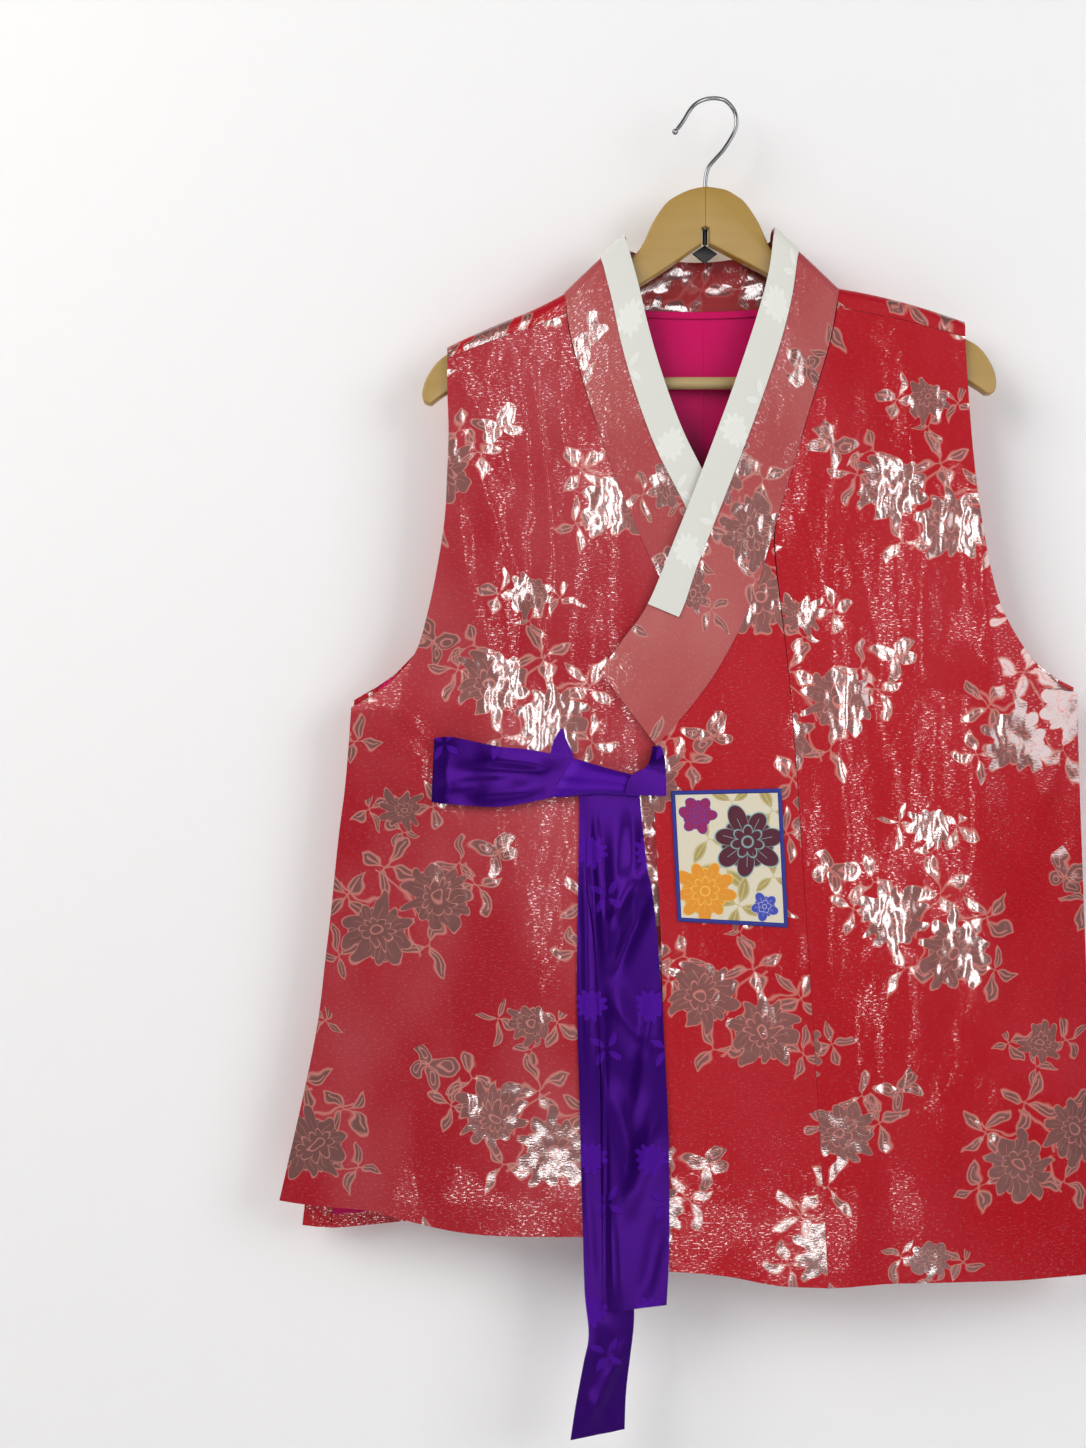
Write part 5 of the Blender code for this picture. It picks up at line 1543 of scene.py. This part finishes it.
# %% Knot
# Knot, from its left fold to the right: top x, z, bottom x, z, back and front lift
KNOT = (
    (-105.5, -517.5, -124, -547, 7.5, 9.2),
    (-98, -519.5, -115, -547.5, 7.6, 12.4),
    (-88, -522.5, -102, -546.5, 5.0, 14.4),
    (-74, -526.5, -84, -545.5, 5.0, 14.8),
    (-62, -529.5, -66, -546.5, 6.2, 13.8),
    (-55, -531, -56, -547, 6.4, 12.4),
)
KNOT_AROUND = 40
ROUND_ANGLE = 50
# Pleats round the knot: height, how many, and how far they wind from end to end
DEEP_PLEATS = (0.5, 5, 2.2)
FINE_PLEATS = (0.3, 9, -1.0)


def wrapped(name, rings, material, node):
    """A closed tube from rings of points: a grid, welded along its seam, with filled ends."""
    rows, columns = rings.shape[0] - 1, rings.shape[1] - 1
    tube = bmesh.new()
    bmesh.ops.create_grid(tube, x_segments=columns, y_segments=rows, size=0.5)
    for vertex in tube.verts:
        column = round((vertex.co.x + 0.5) * columns)
        row = round((0.5 - vertex.co.y) * rows)
        vertex.co = Vector(rings[row, column]) * MM
    bmesh.ops.remove_doubles(tube, verts=tube.verts, dist=WELD)
    bmesh.ops.holes_fill(tube, edges=[edge for edge in tube.edges if edge.is_boundary], sides=0)
    bmesh.ops.recalc_face_normals(tube, faces=tube.faces)
    return hard_piece(name, tube, material, node, ROUND_ANGLE)


knot_rows = smooth(KNOT)
around = np.linspace(0, 2 * math.pi, KNOT_AROUND + 1)[None]
knot_share = 0.5 - 0.5 * np.cos(around)
knot_x = between(knot_rows[:, :1], knot_rows[:, 2:3], knot_share)
knot_z = between(knot_rows[:, 1:2], knot_rows[:, 3:4], knot_share)
reach = np.linspace(0, 1, len(knot_rows))[:, None]
deep, fine = (height * np.cos(count * around + wind * reach)
              for height, count, wind in (DEEP_PLEATS, FINE_PLEATS))
pleat = deep * np.sin(math.pi * reach) + fine
knot_lift = ((knot_rows[:, 4:5] + knot_rows[:, 5:6]) / 2
             + ((knot_rows[:, 5:6] - knot_rows[:, 4:5]) / 2 + pleat) * np.sin(around))
knot_rings = ribbon_point(knot_x, knot_z, knot_lift)
knot = wrapped("ribbon_knot", knot_rings, purple_satin, "goreum_knot")

# %% [markdown]
# ## The patch
#
# A cream satin patch with a narrow blue binding is sewn on the gusset. Its flowers are a plain,
# general design in the shader, because threads of their own would be too fine to see.

# %% Patch
# Patch on the overlap gusset: corners x, z
PATCH = ((-30, -543), (55, -541), (60, -648), (-25, -643))
BINDING = 2.6
PATCH_COLUMNS = 24
PATCH_ROWS = 30
PATCH_MIDDLE = (15.0, -595.0)
PATCH_LIFT = 0.1


def patch_flat(across, down):
    """Flat place of shares across and down the slanted patch."""
    corners = np.array(PATCH, float)
    across = np.asarray(across)[..., None]
    down = np.asarray(down)[..., None]
    upper = between(corners[0], corners[1], across)
    lower = between(corners[3], corners[2], across)
    return between(upper, lower, down)


patch_width = PATCH[1][0] - PATCH[0][0]
patch_height = PATCH[0][1] - PATCH[3][1]
rim = np.array([BINDING / patch_width, BINDING / patch_height])
gap = np.array([GAP / patch_width, GAP / patch_height])
ground_across = np.linspace(rim[0] + gap[0], 1 - rim[0] - gap[0], PATCH_COLUMNS + 1)
ground_down = np.linspace(rim[1] + gap[1], 1 - rim[1] - gap[1], PATCH_ROWS + 1)
flat = patch_flat(*np.meshgrid(ground_across, ground_down))
ground_grid = right_front(flat[..., 0], flat[..., 1], ON_CLOTH + PATCH_LIFT)
ground = cloth("patch_satin", ground_grid, (flat - np.array(PATCH_MIDDLE)) * MM, (0, -1, 0),
               (patch_satin,), TRIM_WALL, "patch_ground")
print("patch:", patch_width, "x", patch_height, "mm")

# %% [markdown]
# The binding is a narrow padded strip of blue satin. It runs round the patch as one strip with
# mitred corners, and its ends are welded.

# %% Binding of the patch
RIM_PARTS = 6
SIDE_STEPS = 24
RIM_PUFF = 0.5
corners_out = np.array([(0, 0), (1, 0), (1, 1), (0, 1), (0, 0)], float)
corners_in = corners_out * (1 - 2 * rim) + rim
outer_line, inner_line = (
    np.vstack([np.linspace(a, b, SIDE_STEPS, endpoint=False)
               for a, b in zip(corners, corners[1:])] + [corners[-1:]])
    for corners in (corners_out, corners_in))
rim_share = np.linspace(0, 1, RIM_PARTS + 1)
share = rim_share[None, :, None]
rim_place = between(outer_line[:, None], inner_line[:, None], share)
flat = patch_flat(rim_place[..., 0], rim_place[..., 1])
puff = RIM_PUFF * np.sin(math.pi * rim_share) ** 0.7
rim_grid = right_front(flat[..., 0], flat[..., 1], ON_CLOTH + puff[None])
binding = cloth("patch_rim", rim_grid, flat * MM, (0, -1, 0), (blue_binding,), TRIM_WALL,
                "patch_binding", weld=True)

# %% [markdown]
# ## The hanger
#
# Each wood half is a disc whose rim is moved onto the outline, extruded to the board's thickness
# and bevelled. The trouser bar is a ribbed rod. The hook is a tube of rings along a bent line.

# %% Wood halves
# Hanger outlines: x, z
WOOD_LEFT = (
    (-1.6, -68.8), (-13.4, -71.2), (-25.2, -76.6), (-33.5, -83), (-43.3, -97.7), (-52.8, -117.4),
    (-66, -129.5), (-86, -143), (-110, -156.2), (-136, -169.2), (-163, -181), (-187, -191.6),
    (-205, -201), (-214, -209), (-221, -220), (-224, -231), (-222.5, -238), (-217, -240),
    (-205, -231), (-163, -206.5), (-110, -177), (-52.8, -146), (-4.6, -113.8), (-4.6, -101.5),
    (-1.6, -100.4),
)
WOOD_RIGHT = (
    (-1.6, -68.8), (13.4, -71.2), (22.1, -75.8), (29.9, -82), (40.2, -97.7), (49.6, -117.4),
    (62, -127.5), (82, -140.5), (104, -153.8), (134, -164), (168, -174.8), (192, -184),
    (207, -191), (215, -197), (222, -207), (226, -217), (226.5, -226), (224, -231), (219, -231.5),
    (207, -223.5), (168, -203), (110, -172.5), (49.6, -139), (1.2, -113.8), (1.2, -101.5),
    (-1.6, -100.4),
)
WOOD_THICKNESS = 12.0
WOOD_ROUND = 1.6
WOOD_JOINT = -1.6
ARM_CORNERS_LEFT = (0, 17, 22, 23)
ARM_CORNERS_RIGHT = (0, 18, 23, 24)
WOOD_ANGLE = 35
SAME = 1e-6
# Blender's bevel has other defaults in a script than in the editor, so they are given.
BEVEL = {"profile": 0.5, "affect": "EDGES", "material": -1}


def outline_of(table, corners):
    """Smooth an outline between its sharp corners."""
    marks = list(corners) + [len(table) - 1]
    runs = [smooth(table[a:b + 1], 4 if b - a > 2 else 1)[:-1] for a, b in zip(marks, marks[1:])]
    return np.vstack(runs + [[table[-1]]])


def thick_plate(points, thickness):
    """A disc whose rim is moved onto an outline, made thick about the middle plane."""
    plate = bmesh.new()
    bmesh.ops.create_circle(plate, cap_ends=True, segments=len(points), radius=1.0)
    plate.verts.ensure_lookup_table()
    for vertex, (x, z) in zip(plate.verts, points):
        vertex.co = Vector((x, -thickness / 2, z)) * MM
    thick = bmesh.ops.extrude_face_region(plate, geom=plate.faces[:])
    far_verts = [item for item in thick["geom"] if isinstance(item, bmesh.types.BMVert)]
    bmesh.ops.translate(plate, vec=(0, thickness * MM, 0), verts=far_verts)
    bmesh.ops.recalc_face_normals(plate, faces=plate.faces)
    return plate


def board(name, table, corners, side, node):
    """One wood half. Its rims are rounded, but not the flat joint between the two halves."""
    points = outline_of(table, corners)
    points[np.abs(points[:, 0] - WOOD_JOINT) < 0.01, 0] += side * GAP / 2
    joint = (WOOD_JOINT + side * GAP / 2) * MM
    wood = thick_plate(points, WOOD_THICKNESS)
    rims = []
    for edge in wood.edges:
        first, second = (vertex.co for vertex in edge.verts)
        off_joint = abs(first.x - joint) + abs(second.x - joint) > SAME
        if abs(first.y - second.y) < SAME and off_joint:
            rims.append(edge)
    bmesh.ops.bevel(wood, geom=rims, offset=WOOD_ROUND * MM, segments=4, clamp_overlap=True,
                    **BEVEL)
    return hard_piece(name, wood, pale_wood, node, WOOD_ANGLE)


board("wood_arm_left", WOOD_LEFT, ARM_CORNERS_LEFT, -1, "hanger_arm_left")
board("wood_arm_right", WOOD_RIGHT, ARM_CORNERS_RIGHT, 1, "hanger_arm_right")
print("wood halves:", [name for name in made if name.startswith("wood_arm")])

# %% [markdown]
# The trouser bar is turned with fine grooves along it, so that trousers don't slide. The grooves
# are a wave on the radius of its rings.

# %% Trouser bar
BAR_LEFT = -181.6
BAR_RIGHT = 195.4
BAR_RADIUS = 4.8
BAR_HEIGHT = -222.5
BAR_RIBS = 16
BAR_AROUND = 96
BAR_END = 1.2
GROOVE = 0.35

bar_angle = np.linspace(0, 2 * math.pi, BAR_AROUND + 1)[None]
bar_x = np.array([BAR_LEFT, BAR_LEFT + BAR_END, BAR_RIGHT - BAR_END, BAR_RIGHT])[:, None]
bar_size = (BAR_RADIUS - np.array([BAR_END, 0, 0, BAR_END])[:, None]
            - GROOVE * np.maximum(np.cos(BAR_RIBS * bar_angle), 0) ** 4)
bar_rings = place(bar_x, bar_size * np.sin(bar_angle), BAR_HEIGHT + bar_size * np.cos(bar_angle))
wrapped("wood_bar", bar_rings, bar_wood, "hanger_bar")
print("length of the bar:", round(BAR_RIGHT - BAR_LEFT, 1), "mm")

# %% [markdown]
# The hook is one bent wire. A curve with a round bevel would do as well, but rings of points that
# follow the bent line also close its two ends. A ball sits on its tip.

# %% Hook and ball
# Middle line of the wire, from its tip: x, z
HOOK = (
    (-23.4, -22.2), (-20.6, -18.6), (-17.9, -14.6), (-14.5, -8.7), (-11.0, -4.2), (-6.4, -0.7),
    (0.0, 1.6), (5.5, 2.1), (10.0, 1.7), (14.4, 0.2), (18.2, -3.2), (21.3, -7.6), (23.0, -13.4),
    (23.1, -18.6), (21.7, -23.8), (19.1, -29.0), (12.7, -38.8), (3.5, -49.2), (0.6, -53.9),
    (-0.9, -59.7), (-1.4, -68.0), (-1.6, -78.0), (-1.6, -101.8),
)
HOOK_TIP = (-25.2, -24.4)
HOOK_TIP_RADIUS = 2.4
WIRE_RADIUS = 1.6
WIRE_AROUND = 20
METAL_ANGLE = 40


def tube_rings(route, radius):
    """Rings of a round wire that follows a line in the XZ plane."""
    way = np.gradient(route, axis=0)
    way /= np.linalg.norm(way, axis=1, keepdims=True)
    angle = np.linspace(0, 2 * math.pi, WIRE_AROUND + 1)[None]
    radius = np.broadcast_to(radius, len(route))[:, None]
    x = route[:, :1] + way[:, 1:] * radius * np.cos(angle)
    z = route[:, 1:] - way[:, :1] * radius * np.cos(angle)
    return place(x, radius * np.sin(angle), z)


hook_route = smooth(HOOK, 6)
wrapped("hook_wire", tube_rings(hook_route, WIRE_RADIUS), chrome, "hanger_hook")

away = np.array(HOOK_TIP, float) - np.array(HOOK[0], float)
away /= np.linalg.norm(away)
ball_centre = np.array(HOOK[0]) + away * (HOOK_TIP_RADIUS + GAP)
ball = bmesh.new()
bmesh.ops.create_uvsphere(ball, u_segments=32, v_segments=20, radius=HOOK_TIP_RADIUS * MM)
bmesh.ops.translate(ball, vec=(ball_centre[0] * MM, 0, ball_centre[1] * MM), verts=ball.verts)
hard_piece("hook_ball", ball, chrome, "hanger_hook_tip", METAL_ANGLE)
print("points along the wire:", len(hook_route))

# %% [markdown]
# The two wood halves leave a bore for the hook's shank. A pin under it holds it, and a small dark
# plate covers the joint. Both are plain shapes with bevelled edges.

# %% Pin and plate
CLIP = ((-11.8, -120.6), (-1.8, -113.9), (8.2, -120.6), (-1.8, -128.4))
PLATE_THICKNESS = 2.4
PIN_RADIUS = 2.0
PIN_TOP = -102.1
PIN_LENGTH = 11.4
METAL_ROUND = 0.5

pin = bmesh.new()
bmesh.ops.create_cone(pin, cap_ends=True, segments=32, radius1=PIN_RADIUS * MM,
                      radius2=PIN_RADIUS * MM, depth=PIN_LENGTH * MM)
level = [edge for edge in pin.edges
         if abs(edge.verts[0].co.z - edge.verts[1].co.z) < SAME]
bmesh.ops.bevel(pin, geom=level, offset=METAL_ROUND * MM, segments=3, **BEVEL)
bmesh.ops.translate(pin, vec=(WOOD_JOINT * MM, 0, (PIN_TOP - PIN_LENGTH / 2) * MM),
                    verts=pin.verts)
plate = thick_plate(CLIP, PLATE_THICKNESS)
bmesh.ops.bevel(plate, geom=plate.edges[:], offset=METAL_ROUND * MM, segments=3, **BEVEL)
hard_piece("shank_pin", pin, dark_metal, "hanger_pin", METAL_ANGLE)
hard_piece("shank_plate", plate, dark_metal, "hanger_clip", METAL_ANGLE)
print("pieces so far:", len(made))

# %% [markdown]
# ## Wall, floor, lights and camera
#
# The garment hangs in front of a plain pale wall. The wall shows only its front and lets shadow
# rays through, so that the back of the garment can be looked at too, in the light of a lamp behind
# it.

# %% Wall and floor
# Metres from here on
WALL_BEHIND = 0.034
FLOOR_UNDER = -1.9

wall_paint = bpy.data.materials.new("wall_paint")
wall_paint.use_nodes = True
wall_nodes = Shader(wall_paint.node_tree)
wall_shader = wall_paint.node_tree.nodes["Principled BSDF"]
wall_shader.inputs["Base Color"].default_value = (0.93, 0.922, 0.92, 1.0)
wall_shader.inputs["Roughness"].default_value = 0.9
see_through = wall_nodes.node("ShaderNodeBsdfTransparent")
both = wall_nodes.node("ShaderNodeMixShader")
facing = wall_nodes.node("ShaderNodeNewGeometry")
path = wall_nodes.node("ShaderNodeLightPath")
unseen = wall_nodes.math("MAXIMUM", facing.outputs["Backfacing"], path.outputs["Is Shadow Ray"])
wall_nodes.link(unseen, both.inputs[0])
wall_nodes.link(wall_shader.outputs[0], both.inputs[1])
wall_nodes.link(see_through.outputs[0], both.inputs[2])
wall_nodes.link(both.outputs[0], wall_paint.node_tree.nodes["Material Output"].inputs["Surface"])

for name, width, height, turn, spot in (
        ("stage_wall", 8.0, 5.0, math.radians(90), (0.0, WALL_BEHIND, 0.3)),
        ("stage_floor", 8.0, 6.0, 0.0, (0.0, -2.9, FLOOR_UNDER))):
    plane = bmesh.new()
    bmesh.ops.create_grid(plane, x_segments=1, y_segments=1, size=0.5)
    for vertex in plane.verts:
        across, up = vertex.co.x * width, vertex.co.y * height
        vertex.co = Vector((across, -up * math.cos(turn), up * math.sin(turn))) + Vector(spot)
    plane.normal_update()
    towards = Vector((0, -1, 0)) if turn else Vector((0, 0, 1))
    if plane.faces[:][0].normal.dot(towards) < 0:
        bmesh.ops.reverse_faces(plane, faces=plane.faces)
    mesh = bpy.data.meshes.new(name)
    plane.to_mesh(mesh)
    plane.free()
    mesh.materials.append(wall_paint)
    shown(mesh)
print("wall", WALL_BEHIND, "m behind the middle plane, floor at", FLOOR_UNDER, "m")

# %% [markdown]
# Three wide lamps give the even light. The narrow panes give no diffuse light: the foil of the
# brocade mirrors them, each on the part of the cloth where the photo has a glare.

# %% Lamps
# Lights: name, place, looks at, width, height, power, colour
LIGHTS = (
    ("key_left", (-1.9, -1.7, 0.9), (0.05, 0, -0.5), 1.6, 1.6, 50.0, (1.0, 0.99, 0.97)),
    ("fill_right", (2.1, -1.8, 0.3), (0.05, 0, -0.5), 1.6, 1.8, 35.0, (0.97, 0.98, 1.0)),
    ("behind", (0.5, 2.2, 0.3), (0.05, 0, -0.5), 1.8, 1.8, 26.0, (1.0, 1.0, 1.0)),
    ("pane_left", (-0.34, -1.5, -0.15), (-0.2, 0, -0.45), 0.06, 0.9, 2.2, (1.0, 1.0, 1.0)),
    ("pane_middle", (-0.12, -1.5, -0.25), (-0.1, 0, -0.45), 0.09, 1.2, 4.2, (1.0, 1.0, 1.0)),
    ("pane_right", (0.43, -1.5, -0.35), (0.12, 0, -0.45), 0.08, 0.9, 2.9, (1.0, 1.0, 1.0)),
    ("pane_far", (0.70, -1.5, -0.55), (0.25, 0, -0.55), 0.1, 0.9, 3.6, (1.0, 0.99, 0.98)),
    ("pane_collar", (0.14, -1.5, 0.24), (0.0, 0, -0.15), 0.22, 0.2, 1.1, (1.0, 1.0, 1.0)),
    ("pane_low", (0.0, -1.5, -1.3), (0.0, 0, -0.85), 1.1, 0.08, 3.2, (1.0, 1.0, 1.0)),
)
for name, spot, target, width, height, power, colour in LIGHTS:
    data = bpy.data.lights.new(name, "AREA")
    data.shape = "RECTANGLE"
    data.size = width
    data.size_y = height
    data.energy = power
    data.color = colour
    lamp = bpy.data.objects.new(name, data)
    lamp.visible_camera = False
    lamp.visible_diffuse = not name.startswith("pane")
    lamp.location = spot
    lamp.rotation_euler = (Vector(target) - Vector(spot)).to_track_quat("-Z", "Y").to_euler()
    bpy.context.scene.collection.objects.link(lamp)
print("lights:", [row[0] for row in LIGHTS])

# %% [markdown]
# The sky fills the shadows a little. The camera stands where the photo was taken from: level, and
# about 1.35 m in front of the cloth.

# %% World and camera
CAMERA_PLACE = (-0.1292, -1.35, -0.4909)
PHOTO_LENS = 42.6
WORLD_COLOUR = (0.97, 0.98, 1.0, 1.0)
WORLD_STRENGTH = 0.22
world = bpy.data.worlds.new("studio")
bpy.context.scene.world = world
world.use_nodes = True
sky = world.node_tree.nodes["Background"]
sky.inputs["Color"].default_value = WORLD_COLOUR
sky.inputs["Strength"].default_value = WORLD_STRENGTH

lens = bpy.data.cameras.new("photo_view")
lens.lens = PHOTO_LENS
lens.sensor_width = 36.0
camera = bpy.data.objects.new("photo_view", lens)
camera.location = CAMERA_PLACE
camera.rotation_euler = (math.radians(90), 0, 0)
bpy.context.scene.collection.objects.link(camera)
bpy.context.scene.camera = camera
bpy.context.scene.view_settings.view_transform = "Standard"
print("camera at", CAMERA_PLACE)
